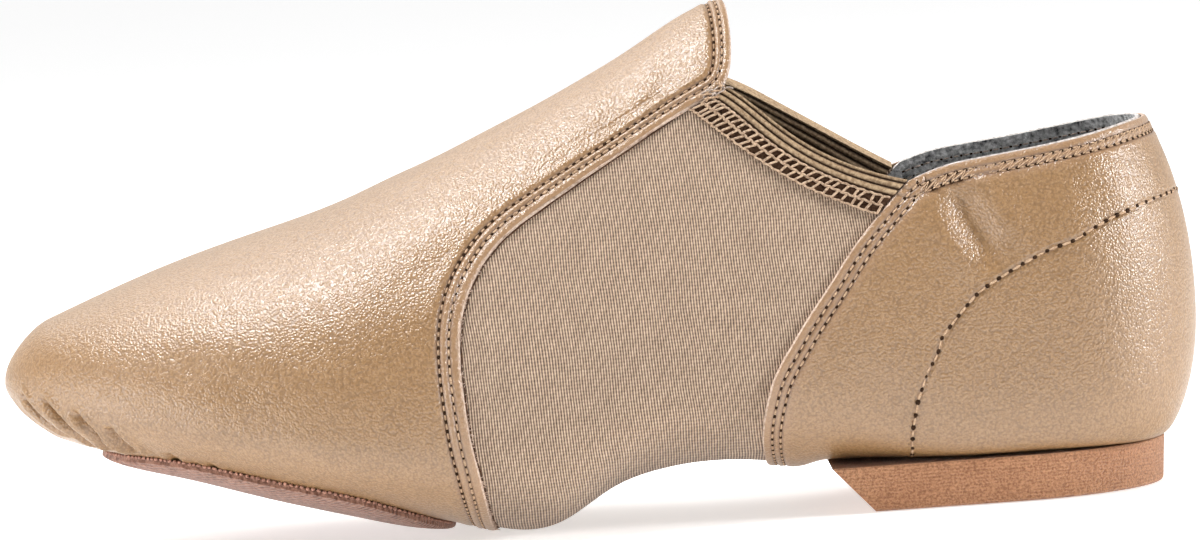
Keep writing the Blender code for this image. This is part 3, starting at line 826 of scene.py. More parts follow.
def sunk(points, table, taper):
    """Depth in metres that the lines of a table take from each point, with a soft ridge beside each."""
    depth = np.zeros(points.shape[:-1])
    for row in rows_of(table):
        gap, at = distances(points, line_on_shoe(row["stations"], row["girths"]))
        gap, at = gap.reshape(depth.shape) / MM, at.reshape(depth.shape)
        ends = eased(np.clip(np.minimum(at, PAST_END - at) / taper, 0, 1))
        valley = np.exp(-(gap / row["width"]) ** 1.5)
        ridge = RIDGE_SHARE * np.exp(-((gap / row["width"] - RIDGE_AWAY) ** 2))
        depth += row["depth"] * MM * ends * (valley - ridge)
    return depth


def vamp_depth(surface):
    return sunk(surface, PLEATS, PLEAT_TAPER) + sunk(surface, VAMP_CREASES, VAMP_TAPER)


# Profiles of the leather panels across their stitched edges: distance from the edge and height
SEAM_PROFILE = [
    ("distance", "height"),
    (0.00, -0.62), (0.15, -0.34), (0.35, -0.14), (0.60, 0.00), (1.20, 0.14), (1.70, 0.10), (2.05, -0.10),
    (2.40, -0.30), (2.75, -0.05), (3.10, 0.20), (3.50, 0.24), (3.90, 0.06), (4.20, -0.26), (4.50, -0.50),
    (4.80, -0.28), (5.20, -0.02), (5.80, 0.14), (6.60, 0.12), (8.00, 0.00),
]
EDGE_PROFILE = [
    ("distance", "height"),
    (0.00, -0.50), (0.12, -0.20), (0.30, -0.04), (0.60, 0.04), (1.20, 0.08), (1.60, -0.02), (2.00, -0.28),
    (2.40, -0.04), (2.80, 0.08), (3.30, -0.03), (3.70, -0.30), (4.10, -0.05), (4.60, 0.08), (5.40, 0.08),
    (6.40, 0.00),
]
VAMP_ROWS = (2.40, 4.50)
EDGE_ROWS = (2.00, 3.70)
PROBES = 180
VAMP_EDGE_POINTS = 400
VAMP_ROW_POINTS = 500
QUARTER_EDGE_POINTS = 300
QUARTER_ROW_POINTS = 400
NO_SEAM = 9.0


def parts_at(place_in, places, gaps, toward, edge):
    """Part at which each row of a panel is a given distance from the edge at part 0 or 1."""
    probes = np.linspace(toward, 1 - toward, PROBES)
    sweep, girth = place_in(probes[None, :], places[:, None])
    sweep, girth = np.broadcast_arrays(sweep, girth)
    gap, _ = distances(shoe_points(sweep, girth), edge)
    gap = np.maximum.accumulate(gap.reshape(sweep.shape), axis=1)
    return np.array([np.interp(wanted, row, probes) for wanted, row in zip(gaps, gap)])


def on_shoe(place_in, parts, places, side=1):
    sweep, girth = place_in(np.asarray(parts, float), np.asarray(places, float))
    girth = girth * side
    return shoe_points(sweep, girth), shoe_normals(sweep, girth)


def both_sides(count, joined_first):
    """Order of a half panel's rows over both sides, and each row's side."""
    rows = np.arange(count)
    if joined_first:
        return np.concatenate([rows[:0:-1], rows]), np.repeat([-1, 1], [count - 1, count])[:, None]
    return np.concatenate([rows, rows[-2::-1]]), np.repeat([-1, 1], [count, count - 1])[:, None]


def row_gaps(distance, rows):
    """Distance from the nearest stitch row."""
    return np.min([np.abs(distance - row) for row in rows], axis=0)


# Vamp
TONGUE_SCALE = 0.80
INNER_FACE = -0.85 * MM
FLAT_UNDER_SOLE = 0.06
VAMP_EDGE_LINE = on_shoe(vamp_place, np.ones(VAMP_EDGE_POINTS), np.linspace(0, 1, VAMP_EDGE_POINTS))[0]


def vamp_parts(places, gaps):
    """Parts at distances from the vamp's edge, drawn closer to it along the tongue."""
    scale = TONGUE_SCALE + (1 - TONGUE_SCALE) * np.clip((places - 0.18) / 0.1, 0, 1)
    return parts_at(vamp_place, places, scale[:, None] * np.asarray(gaps)[None, :], 1, VAMP_EDGE_LINE)


def vamp():
    tongue_rows, flank_rows, body_columns = 24, 86, 140
    flank = np.linspace(TONGUE_CORNER, 1, flank_rows)
    half = np.concatenate([np.linspace(0, TONGUE_CORNER, tongue_rows)[:-1], flank])
    profile = columns_of(SEAM_PROFILE)
    near = vamp_parts(half, profile["distance"][::-1] * MM)
    body = np.linspace(0, 1, body_columns)[None, :-1] ** 1.35 * near[:, :1]
    parts = np.concatenate([body, near], 1)
    plain = np.zeros(body.shape[1])
    heights = np.concatenate([plain, profile["height"][::-1] * MM])
    away = np.concatenate([plain + profile["distance"][-1], profile["distance"][::-1]])
    order, side = both_sides(len(half), True)
    sweep, girth = vamp_place(parts, half[:, None])
    sweep, girth = sweep[order], girth[order] * side
    fade = np.clip((1 - half) / FLAT_UNDER_SOLE, 0, 1)[order][:, None]
    surface = shoe_points(sweep, girth)
    depth = vamp_depth(surface)
    outer = shoe_points(sweep, girth, heights[None, :] * (0.25 + 0.75 * fade) - depth)
    inner = shoe_points(sweep, girth, INNER_FACE - depth)
    marks = cell_marks(outer)
    marks[:, -2:] = 1
    away = np.broadcast_to(away[None, :], sweep.shape)
    held = {"edge_mm": away, "row_mm": row_gaps(away, VAMP_ROWS), "seam_mm": np.full(sweep.shape, NO_SEAM)}
    piece = plate("vamp", outer, inner, [LEATHER_LOOK, RAW_LOOK], 1, marks, 1, held)
    return ride(piece, "tan_leather", "upper")


def vamp_rows():
    """Points and normals of the two stitch rows, on both sides."""
    places = np.linspace(0, 0.985, VAMP_ROW_POINTS)
    lines = []
    for distance in VAMP_ROWS:
        parts = vamp_parts(places, [distance * MM])[:, 0]
        lines += [(distance, *on_shoe(vamp_place, parts, places, side)) for side in (-1, 1)]
    return lines


# Quarter
QUARTER_FRONT_LINE = on_shoe(quarter_place, 0, np.linspace(TONGUE_CORNER, 1, QUARTER_EDGE_POINTS))[0]
QUARTER_COLLAR_LINE = on_shoe(quarter_place, np.linspace(0, 1, QUARTER_EDGE_POINTS), TONGUE_CORNER)[0]
COUNTER = [
    ("station", "girth"),
    (0.991, 0.000),
    (0.989, 0.248),
    (0.983, 0.453),
    (0.974, 0.571),
    (0.960, 0.657),
    (0.941, 0.720),
    (0.918, 0.765),
    (0.894, 0.807),
    (0.871, 0.822),
    (0.844, 0.854),
    (0.811, 0.901),
    (0.791, 0.956),
    (0.776, 1.003),
    (0.764, 1.050),
    (0.755, 1.153),
    (0.749, 1.342),
    (0.749, 1.664),
]
COUNTER_POINTS = 160
COUNTER_SMOOTHINGS = 6
TABLE_STEPS = 60
QUARTER_ROUNDS = 4


def counter_line(side):
    """Single stitch row around the heel counter."""
    table = columns_of(COUNTER)
    at = np.linspace(0, len(table["station"]) - 1, COUNTER_POINTS)
    station = np.interp(at, np.arange(len(table["station"])), table["station"])
    girth = np.interp(at, np.arange(len(table["girth"])), table["girth"]) * side
    for _ in range(COUNTER_SMOOTHINGS):
        station[1:-1] = (station[:-2] + 2 * station[1:-1] + station[2:]) / 4
        girth[1:-1] = (girth[:-2] + 2 * girth[1:-1] + girth[2:]) / 4
    sweep = sweep_of(np.minimum(station, 0.9995))
    return shoe_points(sweep, girth), shoe_normals(sweep, girth)


def collar_place(fall, part):
    return quarter_place(part, TONGUE_CORNER + fall * (1 - TONGUE_CORNER))


def quarter_tables(gaps):
    """Parts at distances from the front edge, for steady falls, and falls at distances from the collar."""
    steps = np.linspace(0, 1, TABLE_STEPS)
    gaps = np.broadcast_to(gaps, (len(steps), len(gaps)))
    places = TONGUE_CORNER + steps * (1 - TONGUE_CORNER)
    front = parts_at(quarter_place, places, gaps, 0, QUARTER_FRONT_LINE)
    return steps, front, parts_at(collar_place, steps, gaps, 0, QUARTER_COLLAR_LINE)


def quarter():
    parts_in_body, falls_in_body = 84, 64
    profile = columns_of(EDGE_PROFILE)
    steps, front, collar = quarter_tables(profile["distance"] * MM)
    last = len(profile["distance"]) - 1
    part_index, fall_index = np.arange(last + 1 + parts_in_body), np.arange(last + 1 + falls_in_body)

    def along(index, table, other, body):
        column = np.minimum(index, last)
        start = np.stack([np.interp(row, steps, table[:, c]) for row, c in zip(other, column)])
        return start + (1 - start) * (np.maximum(index - last, 0) / body)[:, None]

    part = np.repeat(np.linspace(0, 1, len(part_index))[:, None], len(fall_index), 1)
    fall = np.repeat(np.linspace(0, 1, len(fall_index))[None, :], len(part_index), 0)
    for _ in range(QUARTER_ROUNDS):
        part = along(part_index, front, fall, parts_in_body)
        fall = along(fall_index, collar, part.T, falls_in_body).T
    heights = np.append(profile["height"] * MM, 0)
    by_part = heights[np.minimum(part_index, last + 1)][:, None]
    by_fall = heights[np.minimum(fall_index, last + 1)][None, :]
    height = np.where(np.abs(by_part) > np.abs(by_fall), by_part, by_fall)
    reach = np.minimum(part_index, last)[:, None], np.minimum(fall_index, last)[None, :]
    away = np.minimum(profile["distance"][reach[0]], profile["distance"][reach[1]])
    order, side = both_sides(len(part_index), False)
    sweep, girth = quarter_place(part, TONGUE_CORNER + fall * (1 - TONGUE_CORNER))
    sweep, girth, height, away = sweep[order], girth[order] * side, height[order], away[order]
    surface = shoe_points(sweep, girth)
    seams = [distances(surface, counter_line(turn)[0])[0].reshape(sweep.shape) / MM for turn in (-1, 1)]
    depth = sunk(surface, QUARTER_CREASES, QUARTER_TAPER)
    outer = shoe_points(sweep, girth, height - depth)
    inner = shoe_points(sweep, girth, INNER_FACE - depth)
    marks = cell_marks(outer)
    marks[:2] = 1
    marks[-2:] = 1
    marks[:, :1] = 1
    held = {"edge_mm": away, "row_mm": row_gaps(away, EDGE_ROWS), "seam_mm": np.minimum(*seams)}
    piece = plate("quarter", outer, inner, [LEATHER_LOOK, RAW_LOOK], -1, marks, 1, held)
    return ride(piece, "tan_leather", "upper")


def quarter_rows():
    """Points and normals of the stitch rows along the front edge and the collar, for each side."""
    steps, front, collar = quarter_tables(np.array(EDGE_ROWS) * MM)
    front_fall = np.linspace(0.03, 0.93, QUARTER_ROW_POINTS)
    collar_part = np.linspace(0.035, 1, QUARTER_ROW_POINTS)
    rows = {"front": [], "collar": []}
    for side in (-1, 1):
        for column in range(len(EDGE_ROWS)):
            part = np.interp(front_fall, steps, front[:, column])
            rows["front"].append(on_shoe(collar_place, front_fall, part, side))
            fall = np.interp(collar_part, steps, collar[:, column])
            rows["collar"].append(on_shoe(collar_place, fall, collar_part, side))
    return rows


# Stretch insert. Its top sags as worn, more on the outer side. Shifts are in places along the vamp's edge.
SAG = [
    ("place", "outer", "inner"), (TONGUE_CORNER, 0.043, 0.006), (ELASTIC_END, 0.038, 0.009), (0.55, 0.0, 0.0),
]
INSERT_ROWS = 90
INSERT_COLUMNS = 64
TUCKED_UNDER = 0.012


def worn_insert(part, place, side):
    """Sweep and girth in the stretch insert as worn, with the side's sign in the girth."""
    part, place, side = np.broadcast_arrays(part, place, side)
    sag = columns_of(SAG)
    outer, inner = (np.interp(place, sag["place"], sag[name]) for name in ("outer", "inner"))
    shift = np.where(side < 0, outer, inner)
    sweep, girth = insert_place(part, place + shift * np.sin(np.pi * np.clip(part, 0, 1)))
    return sweep, girth * side


def stretch_insert():
    half = np.linspace(TONGUE_CORNER + 0.006, 1, INSERT_ROWS)
    parts = np.linspace(-TUCKED_UNDER, 1 + TUCKED_UNDER, INSERT_COLUMNS)
    order, side = both_sides(len(half), False)
    sweep, girth = worn_insert(parts[None, :], half[order][:, None], side)
    outer = shoe_points(sweep, girth, -LEATHER)
    inner = shoe_points(sweep, girth, -WALL)
    return ride(plate("stretch_insert", outer, inner, [KNIT_LOOK], -1), "stretch_knit", "upper")


# Linings, in the vamp and in the quarter. They follow the folds of the leather.
LINING_GAP = 0.05 * MM
ROUNDED = 0.30 * MM
FELT_EDGE_RISE = 0.008
LINING_ROWS = 60
LINING_COLUMNS = 100


def linings():
    half = np.linspace(0.004, 1, LINING_ROWS)
    parts = np.linspace(0, 0.992, LINING_COLUMNS)
    order, side = both_sides(len(half), True)
    sweep, girth = vamp_place(parts[None, :], half[:, None])
    sweep, girth = sweep[order], girth[order] * side
    depth = np.maximum(vamp_depth(shoe_points(sweep, girth)), 0)
    outer = shoe_points(sweep, girth, -LEATHER - LINING_GAP - depth)
    inner = shoe_points(sweep, girth, -WALL - depth)
    ride(plate("vamp_lining", outer, inner, [LINING_LOOK], 1), "grey_felt", "upper")
    parts = np.linspace(0.008, 1, LINING_ROWS)
    falls = np.linspace(0, 1, LINING_ROWS)
    falls[0] = -FELT_EDGE_RISE
    order, side = both_sides(len(parts), False)
    sweep, girth = collar_place(falls[None, :], parts[:, None])
    sweep, girth = sweep[order], girth[order] * side
    depth = np.maximum(sunk(shoe_points(sweep, girth), QUARTER_CREASES, QUARTER_TAPER), 0)
    rounding = np.where(falls < 0, ROUNDED, 0)[None, :]
    outer = shoe_points(sweep, girth, -LEATHER - LINING_GAP - rounding - depth)
    inner = shoe_points(sweep, girth, -WALL + rounding - depth)
    marks = cell_marks(outer)
    marks[:, :1] = 1
    piece = plate("heel_lining", outer, inner, [LINING_LOOK, FELT_EDGE_LOOK], -1, marks, 1)
    ride(piece, "grey_felt", "upper")


# Elastic edging: ribs wrapped over the top of the insert, a band under the cover stitch and a dark back;
# their dark brown is partly the backing's own colour and partly painted shade inside the insert
ELASTIC_HEIGHT = ELASTIC_END - TONGUE_CORNER
RIBS = 3
RIB_END = 0.47
RIB_STEPS = 16
RIB_ROUND = 0.55
RIB_FOOT = -0.60 * MM
RIB_RISE = 0.90 * MM
RIB_BACK_RISE = 0.50 * MM
ELASTIC_STEPS = 80
PLATE_STEPS = 20
ELASTIC_PLATES = [
    ("name", "start", "end", "near", "far"),
    ("elastic_band_", RIB_END - 0.02, 1.0, -0.45 * MM, -LEATHER - 0.1 * MM),
    ("elastic_back_", RIB_END - 0.05, 2.2, -WALL + 0.1 * MM, -WALL - 0.3 * MM),
]
LADDER_CELLS = 26
LADDER_RAILS = (0.53, 0.76, 0.99)
LADDER_RADIUS = 0.27 * MM


def on_elastic(part, share, side, offset):
    """Points at a distance outside the last, over the elastic: share 0 at its top and 1 at its foot."""
    sweep, girth = worn_insert(part, TONGUE_CORNER + ELASTIC_HEIGHT * share, side)
    return shoe_points(sweep, girth, offset)


def elastic_ribs(name, side):
    parts = np.linspace(0.004, 0.996, ELASTIC_STEPS)
    shares = np.linspace(0, RIB_END, RIBS * RIB_STEPS + 1)
    wave = np.abs(np.cos((RIBS - 0.5) * math.pi * shares / RIB_END)) ** RIB_ROUND
    out = RIB_FOOT + RIB_RISE * wave
    back = -WALL - 0.1 * MM - RIB_BACK_RISE * wave
    share = np.concatenate([shares[::-1], shares])
    offset = np.concatenate([out[::-1], back])
    rim = on_elastic(parts[:, None], share[None, :], side, offset[None, :])
    rows, count = rim.shape[:2]
    faces = [
        (i * count + j, i * count + (j + 1) % count, (i + 1) * count + (j + 1) % count, (i + 1) * count + j)
        for i in range(rows - 1) for j in range(count)
    ]
    faces += [tuple(reversed(range(count))), tuple(range((rows - 1) * count, rows * count))]
    if side > 0:
        faces = [tuple(reversed(face)) for face in faces]
    rib = np.tile(np.concatenate([wave[::-1], wave]), rows)
    return add_mesh(name, rim.reshape(-1, 3), faces, [ELASTIC_LOOK], attributes={"rib": rib})


def elastic_plate(label, side, name, start, end, near, far):
    """Plate over part of the elastic's height, between two distances outside the last."""
    parts = np.linspace(0.004, 0.996, ELASTIC_STEPS)
    share = np.linspace(start, end, PLATE_STEPS)
    tucked = np.zeros(len(share))
    tucked[[0, -1]] = far + 0.1 * MM - near
    outer = on_elastic(parts[:, None], share[None, :], side, near + tucked)
    inner = on_elastic(parts[:, None], share[None, :], side, far)
    return plate(name + label, outer, inner, [BACKING_AND_SHADE_LOOK], side)


def elastics():
    for side, label in ((-1, "outer"), (1, "inner")):
        ride(elastic_ribs("elastic_ribs_" + label, side), "stretch_knit", "elastic_" + label)
        for row in rows_of(ELASTIC_PLATES):
            ride(elastic_plate(label, side, **row), "stretch_knit")
        ride(cover_stitch("cover_stitch_" + label, side), "stretch_knit")


def cover_stitch(name, side):
    """Ladder of thread: three rails with rungs between them, a little uneven."""
    cells, rails = LADDER_CELLS, LADDER_RAILS
    chance = np.random.default_rng(11)
    lines = []
    for share in rails:
        part = np.linspace(0.01, 0.99, cells * 6)
        wave = np.sin(np.linspace(0, cells * 2 * math.pi, len(part)))
        lift = -0.14 * MM + 0.12 * MM * np.abs(wave)
        lines.append(on_elastic(part, share + 0.012 * wave, side, lift))
    for row in range(2):
        for cell in range(cells):
            start = (cell + 0.25 + 0.5 * row + chance.uniform(-0.12, 0.12)) / cells
            lean = chance.uniform(-0.30, 0.30) / cells
            t = np.linspace(0, 1, 7)
            share = rails[row] + (rails[row + 1] - rails[row]) * t
            part = np.clip(0.01 + 0.98 * (start + lean * t), 0.008, 0.992)
            lines.append(on_elastic(part, share, side, -0.20 * MM + 0.24 * MM * np.sin(math.pi * t)))
    return tubes(name, lines, LADDER_RADIUS, PALE_THREAD_LOOK)


# Stitches. Sizes of threads and holes: length, width and height in millimetres.
STITCHES = [
    ("row", "pitch", "sink", "thread", "hole"),
    ("vamp 2.4", 1.9, -0.26, (1.50, 0.55, 0.62), (0.75, 0.60, 0.44)),
    ("vamp 4.5", 1.9, -0.44, (1.30, 0.50, 0.66), (1.00, 0.90, 0.60)),
    ("front", 2.1, -0.24, (1.50, 0.48, 0.58), (0.85, 0.78, 0.52)),
    ("collar", 2.0, -0.24, (1.20, 0.42, 0.50), (0.95, 0.85, 0.52)),
    ("counter", 2.8, -0.10, (2.00, 0.52, 0.62), (1.15, 1.00, 0.58)),
    ("inside", 2.1, -0.02, (1.35, 0.40, 0.40), (0.70, 0.60, 0.30)),
]
THREAD_OVER_HOLE = 0.06
ZIGZAG_PITCH = 2.0 * MM
ZIGZAG_RADIUS = 0.15 * MM
ZIGZAG_LIFT = 0.02 * MM
FIBRES = 260
FIBRE_RADIUS = 0.07 * MM
# Painted shadow beside the vamp's edge, drawn as a thin dark tube on the knit.
EDGE_SHADOW_POINTS = 260
EDGE_SHADOW_RADIUS = 0.20 * MM
EDGE_SHADOW_LIFT = 0.04 * MM
TACK_RADIUS = 0.17 * MM
PATCH_POINTS = 300
PATCH_PITCH = 1.25 * MM
PATCH_STITCH = [0.95 * MM, 0.55 * MM, 0.75 * MM]
PATCH_STITCH_LIFT = 0.35 * MM


def stitching():
    kinds = {row["row"]: row for row in rows_of(STITCHES)}
    threads, holes, inside_threads = [], [], []

    def sew(kind, points, normals, start, held):
        row = kinds[kind]
        place, along, normal = resampled(points, normals, row["pitch"] * MM, start)
        size = [v * MM for v in row["thread"]]
        held.append((place + normal * (row["sink"] + THREAD_OVER_HOLE) * MM, along, normal, size))
        place, along, normal = resampled(points, normals, row["pitch"] * MM, start - 0.5)
        size = [v * MM for v in row["hole"]]
        holes.append((place + normal * row["sink"] * MM, along, normal, size))

    for distance, points, normals in vamp_rows():
        sew("vamp 2.4" if distance == VAMP_ROWS[0] else "vamp 4.5", points, normals, 0.5, threads)
    slants = []
    for kind, lines in quarter_rows().items():
        for number, (points, normals) in enumerate(lines):
            sew(kind, points, normals, 0.5 + 0.5 * (number % 2), threads)
            if kind == "collar":
                inward = points - normals * WALL
                sew("inside", inward, -normals, 0.5, inside_threads)
        if kind == "collar":
            slants += [zigzag(lines[0], lines[1]), zigzag(lines[2], lines[3])]
    for side in (-1, 1):
        sew("counter", *counter_line(side), 0.5, threads)
    ride(beads("seam_threads", threads, THREAD_LOOK), "tan_leather")
    ride(beads("lining_threads", inside_threads, GREY_THREAD_LOOK), "grey_felt")
    # The needle holes' beads carry painted shade.
    ride(beads("needle_holes", holes, HOLE_SHADE_LOOK), "tan_leather")
    ride(tubes("collar_zigzag", slants, ZIGZAG_RADIUS, THREAD_LOOK, 5), "tan_leather")


def zigzag(upper, lower):
    """Thread that runs to and fro between two stitch rows."""
    first, _, first_normal = resampled(*upper, ZIGZAG_PITCH, 0.0)
    second, _, second_normal = resampled(*lower, ZIGZAG_PITCH, 0.5)
    count = min(len(first), len(second))
    to = first[:count] + first_normal[:count] * ZIGZAG_LIFT
    fro = second[:count] + second_normal[:count] * ZIGZAG_LIFT
    return np.stack([to, fro], 1).reshape(-1, 3)


def fringe():
    """Frayed fibres along the vamp's raw edge."""
    lines = []
    chance = np.random.default_rng(5)
    for side in (-1, 1):
        for place in chance.uniform(TONGUE_CORNER + 0.02, 0.97, FIBRES):
            part = 1 + chance.uniform(-0.002, 0.001)
            start, normal = on_shoe(vamp_place, [part], [place], side)
            ahead, _ = on_shoe(vamp_place, [part + 0.004], [place + chance.uniform(-0.004, 0.004)], side)
            along = unit((ahead - start)[0])
            reach = chance.uniform(0.25, 0.9) * MM
            foot = start[0] - normal[0] * 0.45 * MM
            lines.append([foot, foot + along * reach * 0.5 + normal[0] * 0.12 * MM, foot + along * reach])
    return ride(tubes("frayed_edge", lines, FIBRE_RADIUS, RAW_LOOK, 4), "tan_leather")


def edge_shadow_line():
    """Painted shadow: a dark tube, slightly wavy, beside the vamp's edge on the knit, where the edge casts
    its shade.
    """
    places = np.linspace(TONGUE_CORNER + 0.10, 0.99, EDGE_SHADOW_POINTS)
    lines = []
    for side in (-1, 1):
        sweep, girth = insert_place(0.004 + 0.0015 * np.sin(places * 190), places)
        lines.append(shoe_points(sweep, girth * side, EDGE_SHADOW_LIFT - LEATHER))
    return ride(tubes("edge_shadow_line", lines, EDGE_SHADOW_RADIUS, BACKING_AND_SHADE_LOOK), "stretch_knit")


def bar_tack():
    """Knotted threads where the tongue's corner is sewn to the elastic."""
    chance = np.random.default_rng(3)
    for look, count, name in ((THREAD_LOOK, 16, "tack_threads"), (GREY_THREAD_LOOK, 12, "tack_ends")):
        lines = []
        for side in (-1, 1):
            for _ in range(count):
                centre = chance.uniform((-0.035, 0.00), (0.045, 0.62))
                spread = chance.uniform(-1, 1, 2)
                t = np.linspace(-0.5, 0.5, 6)
                share = centre[1] + 0.34 * spread[0] * t
                part = centre[0] + 0.065 * spread[1] * t
                lift = chance.uniform(0.0, 0.5) * MM + 0.3 * MM * np.cos(math.pi * t)
                lines.append(on_elastic(part, share, side, lift))
        ride(tubes(name, lines, TACK_RADIUS, look), "stretch_knit")


# Sole pieces
def patch_width(station):
    return oval(station, FOREFOOT_SOLE) * (1 + 0.008 * np.sin(station * 520))


def under_plate(name, span, width_at, counts, near, floor, thickness_at, look):
    """Plate along the underside of the last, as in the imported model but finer."""
    away = math.copysign(1, near)
    share = station_of(np.linspace(0, 1, counts[0] + 1))[:, None]
    station = span["start"] + (span["end"] - span["start"]) * share
    across = np.sin(np.pi * (np.linspace(0, 1, counts[1] + 1) - 0.5))[None, :]
    girth = np.copysign(girth_at_width(station, np.abs(across) * width_at(station)), across)
    sweep = np.broadcast_to(sweep_of(station), girth.shape)
    outer = shoe_points(sweep, girth, near + away * thickness_at(across, station))
    inner = shoe_points(sweep, girth, near)
    outer[..., 2] = np.maximum(outer[..., 2], floor[0])
    inner[..., 2] = np.maximum(inner[..., 2], floor[1])
    return plate(name, outer, inner, [look], 1 if away < 0 else -1)


def patch_thickness(across, station):
    edge = np.maximum(np.abs(across), np.abs(along_span(station, FOREFOOT_SOLE))) ** 6
    return SOLE_THICKNESS + (SOLE_EDGE - SOLE_THICKNESS) * edge


def insole_thickness(across, station):
    return INSOLE_THICKNESS * (1 - 0.4 * np.abs(across) ** 8) + 0 * station


def soles():
    piece = under_plate(
        "forefoot_patch", FOREFOOT_SOLE, patch_width, (120, 60), GAP, (0, 0), patch_thickness, SUEDE_LOOK
    )
    ride(piece, "pink_suede", "forefoot_sole")
    low = WALL - LEATHER + INSOLE_GAP
    piece = under_plate(
        "insole_sock", INSOLE, lambda station: oval(station, INSOLE), (130, 34), -(WALL + INSOLE_GAP),
        (low + INSOLE_THICKNESS, low), insole_thickness, INSOLE_LOOK
    )
    ride(piece, "grey_felt", "insole")


def patch_stitches():
    """Close reddish stitches over the edge of the forefoot patch."""
    groups = []
    station = np.linspace(FOREFOOT_SOLE["start"] + 0.004, FOREFOOT_SOLE["end"] - 0.004, PATCH_POINTS)
    for side in (-1, 1):
        girth = girth_at_width(station, patch_width(station) * 1.012) * side
        sweep = sweep_of(station)
        points = shoe_points(sweep, girth, PATCH_STITCH_LIFT)
        normals = shoe_normals(sweep, girth)
        groups.append((*resampled(points, normals, PATCH_PITCH), PATCH_STITCH))
    return ride(beads("patch_stitches", groups, RED_THREAD_LOOK), "pink_suede")


# Heel block, in layers whose height is in millimetres
LAYER_HEIGHT = 0.78


def heel_outline(front, inset, height):
    """Ring of points around the heel block, clockwise from its front: straight sides and a round back."""
    arc_steps, side_steps, front_steps = 65, 29, 22
    back = (HEEL_BACK - 0.5) * LENGTH - inset
    half = HEEL_BLOCK_WIDTH * HEEL_WIDTH / 2 - inset
    length = HEEL_ROUND * LENGTH
    start = (front - 0.5) * LENGTH
    turns = np.pi / 2 - np.pi * np.linspace(0, 1, arc_steps)
    arc = np.stack([back - length * (1 - np.cos(turns)), half * np.sin(turns)], -1)
    straight = np.linspace(start, arc[0, 0], side_steps + 1)[:-1]
    upper = np.stack([straight, np.full(side_steps, half)], -1)
    lower = np.stack([straight[::-1], np.full(side_steps, -half)], -1)
    across = np.linspace(-half, half, front_steps + 2)[1:-1]
    front_edge = np.stack([np.full(front_steps, start), across], -1)
    flat = np.concatenate([upper, arc, lower, front_edge])
    return np.concatenate([flat, np.full((len(flat), 1), height)], 1)


def heel_block():
    """Stack of thin layers: rings with shallow steps between them. Heights and insets in millimetres."""
    levels = [(0.0, 0.45), (0.15, 0.20), (0.45, 0.05)]
    while levels[-1][0] < HEEL_HEIGHT / MM - 1.0:
        base = levels[-1][0]
        step = base + LAYER_HEIGHT * 0.60, base + LAYER_HEIGHT * 0.80, base + LAYER_HEIGHT
        levels += zip(step, (0.0, 0.06, 0.02))
    levels += [(HEEL_HEIGHT / MM - 0.25, 0.0), (HEEL_HEIGHT / MM, 0.18)]
    rings = []
    for height, inset in levels:
        share = height * MM / HEEL_HEIGHT
        front = HEEL_FRONT_BOTTOM + (HEEL_FRONT_TOP - HEEL_FRONT_BOTTOM) * share
        rings.append(heel_outline(front, HEEL_TAPER * (1 - share) + inset * MM, height * MM))
    count = len(rings[0])
    faces = [tuple(range(count)), tuple(reversed(range((len(rings) - 1) * count, len(rings) * count)))]
    faces += ring_faces(len(rings), count)
    piece = add_mesh("heel_block", np.concatenate(rings), faces, [HEEL_LOOK])
    return ride(piece, "heel_suede", "heel")


# Stage
LIGHTS = [
    ("name", "place", "size", "watts"),
    ("top", (-0.42, -0.16, 1.10), 0.36, 16.0),
    ("back", (-0.36, 0.62, 0.85), 0.50, 2.6),
    ("left", (-1.00, -0.42, 0.14), 0.35, 4.6),
    ("right", (1.03, -0.22, 0.36), 0.26, 10.0),
]
AIM = Vector((0, 0, 0.05))
STAGE_SIZE = 60
FLOOR_DROP = 0.0002
BACKDROP_AWAY = 10
WORLD_STRENGTH = 0.19


def studio_plane(name, place, tilt, glow, greys, **constants):
    """Large pale plane, mottled between two close greys, that gives off some light of its own."""
    bpy.ops.mesh.primitive_plane_add(size=STAGE_SIZE, location=place, rotation=(tilt, 0, 0))
    plane = bpy.context.object
    plane.name = name
    look = Look(name, Emission_Color=(1, 1, 1, 1), Emission_Strength=glow, **constants)
    look.colour(look.mix(look.noise(3.0), (greys[0],) * 3, (greys[1],) * 3))
    plane.data.materials.append(look.material)


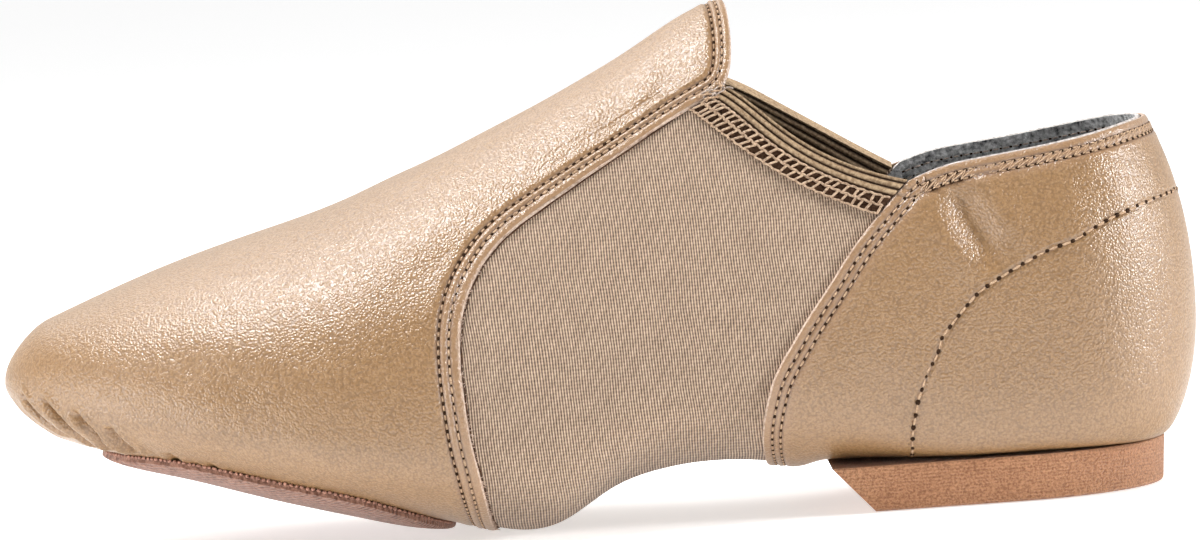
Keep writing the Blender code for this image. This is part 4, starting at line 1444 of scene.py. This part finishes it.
def stage():
    """Floor, a backdrop far enough back to clear every view, soft lights and a white world."""
    floor, upright = (0, 0, -FLOOR_DROP), (0, BACKDROP_AWAY, 0)
    studio_plane("studio_floor", floor, 0, 0.54, (0.79, 0.81), Roughness=0.9, Specular_IOR_Level=0.1)
    studio_plane("studio_backdrop", upright, math.pi / 2, 0.9, (0.10, 0.12), Roughness=1.0)
    world = bpy.data.worlds.new("studio")
    world.use_nodes = True
    background = world.node_tree.nodes["Background"]
    background.inputs["Color"].default_value = (1, 1, 1, 1)
    background.inputs["Strength"].default_value = WORLD_STRENGTH
    bpy.context.scene.world = world
    for row in rows_of(LIGHTS):
        light = bpy.data.lights.new(row["name"], "AREA")
        light.size = row["size"]
        light.energy = row["watts"]
        lamp = bpy.data.objects.new(row["name"], light)
        lamp.location = row["place"]
        lamp.rotation_euler = (AIM - lamp.location).to_track_quat("-Z", "Y").to_euler()
        bpy.context.scene.collection.objects.link(lamp)
    bpy.context.scene.view_settings.view_transform = "Standard"


def camera():
    """The photograph's view: a little above the floor, rolled so that the floor rises to the right.

    Angles are in degrees, the sensor in millimetres, and width is what the picture spans at the target.
    """
    azimuth, elevation, roll = (math.radians(v) for v in (-1.0, 4.8, 4.0))
    distance, width, sensor = 1.5, 0.25104, 36.0
    target = Vector((0.00097, 0, 0.05197))
    back = Vector((
        math.sin(azimuth) * math.cos(elevation), -math.cos(azimuth) * math.cos(elevation), math.sin(elevation)
    ))
    right = Vector((math.cos(azimuth), math.sin(azimuth), 0))
    up = back.cross(right)
    side = right * math.cos(roll) - up * math.sin(roll)
    head = up * math.cos(roll) + right * math.sin(roll)
    lens = bpy.data.cameras.new("camera")
    lens.sensor_width = sensor
    lens.lens = sensor * distance / width
    eye = bpy.data.objects.new("camera", lens)
    rotation = Matrix((side, head, back)).transposed()
    eye.matrix_world = Matrix.Translation(target + back * distance) @ rotation.to_4x4()
    bpy.context.scene.collection.objects.link(eye)
    bpy.context.scene.camera = eye


camera()
vamp()
quarter()
stretch_insert()
linings()
elastics()
stitching()
fringe()
edge_shadow_line()
bar_tack()
soles()
patch_stitches()
heel_block()
stage()
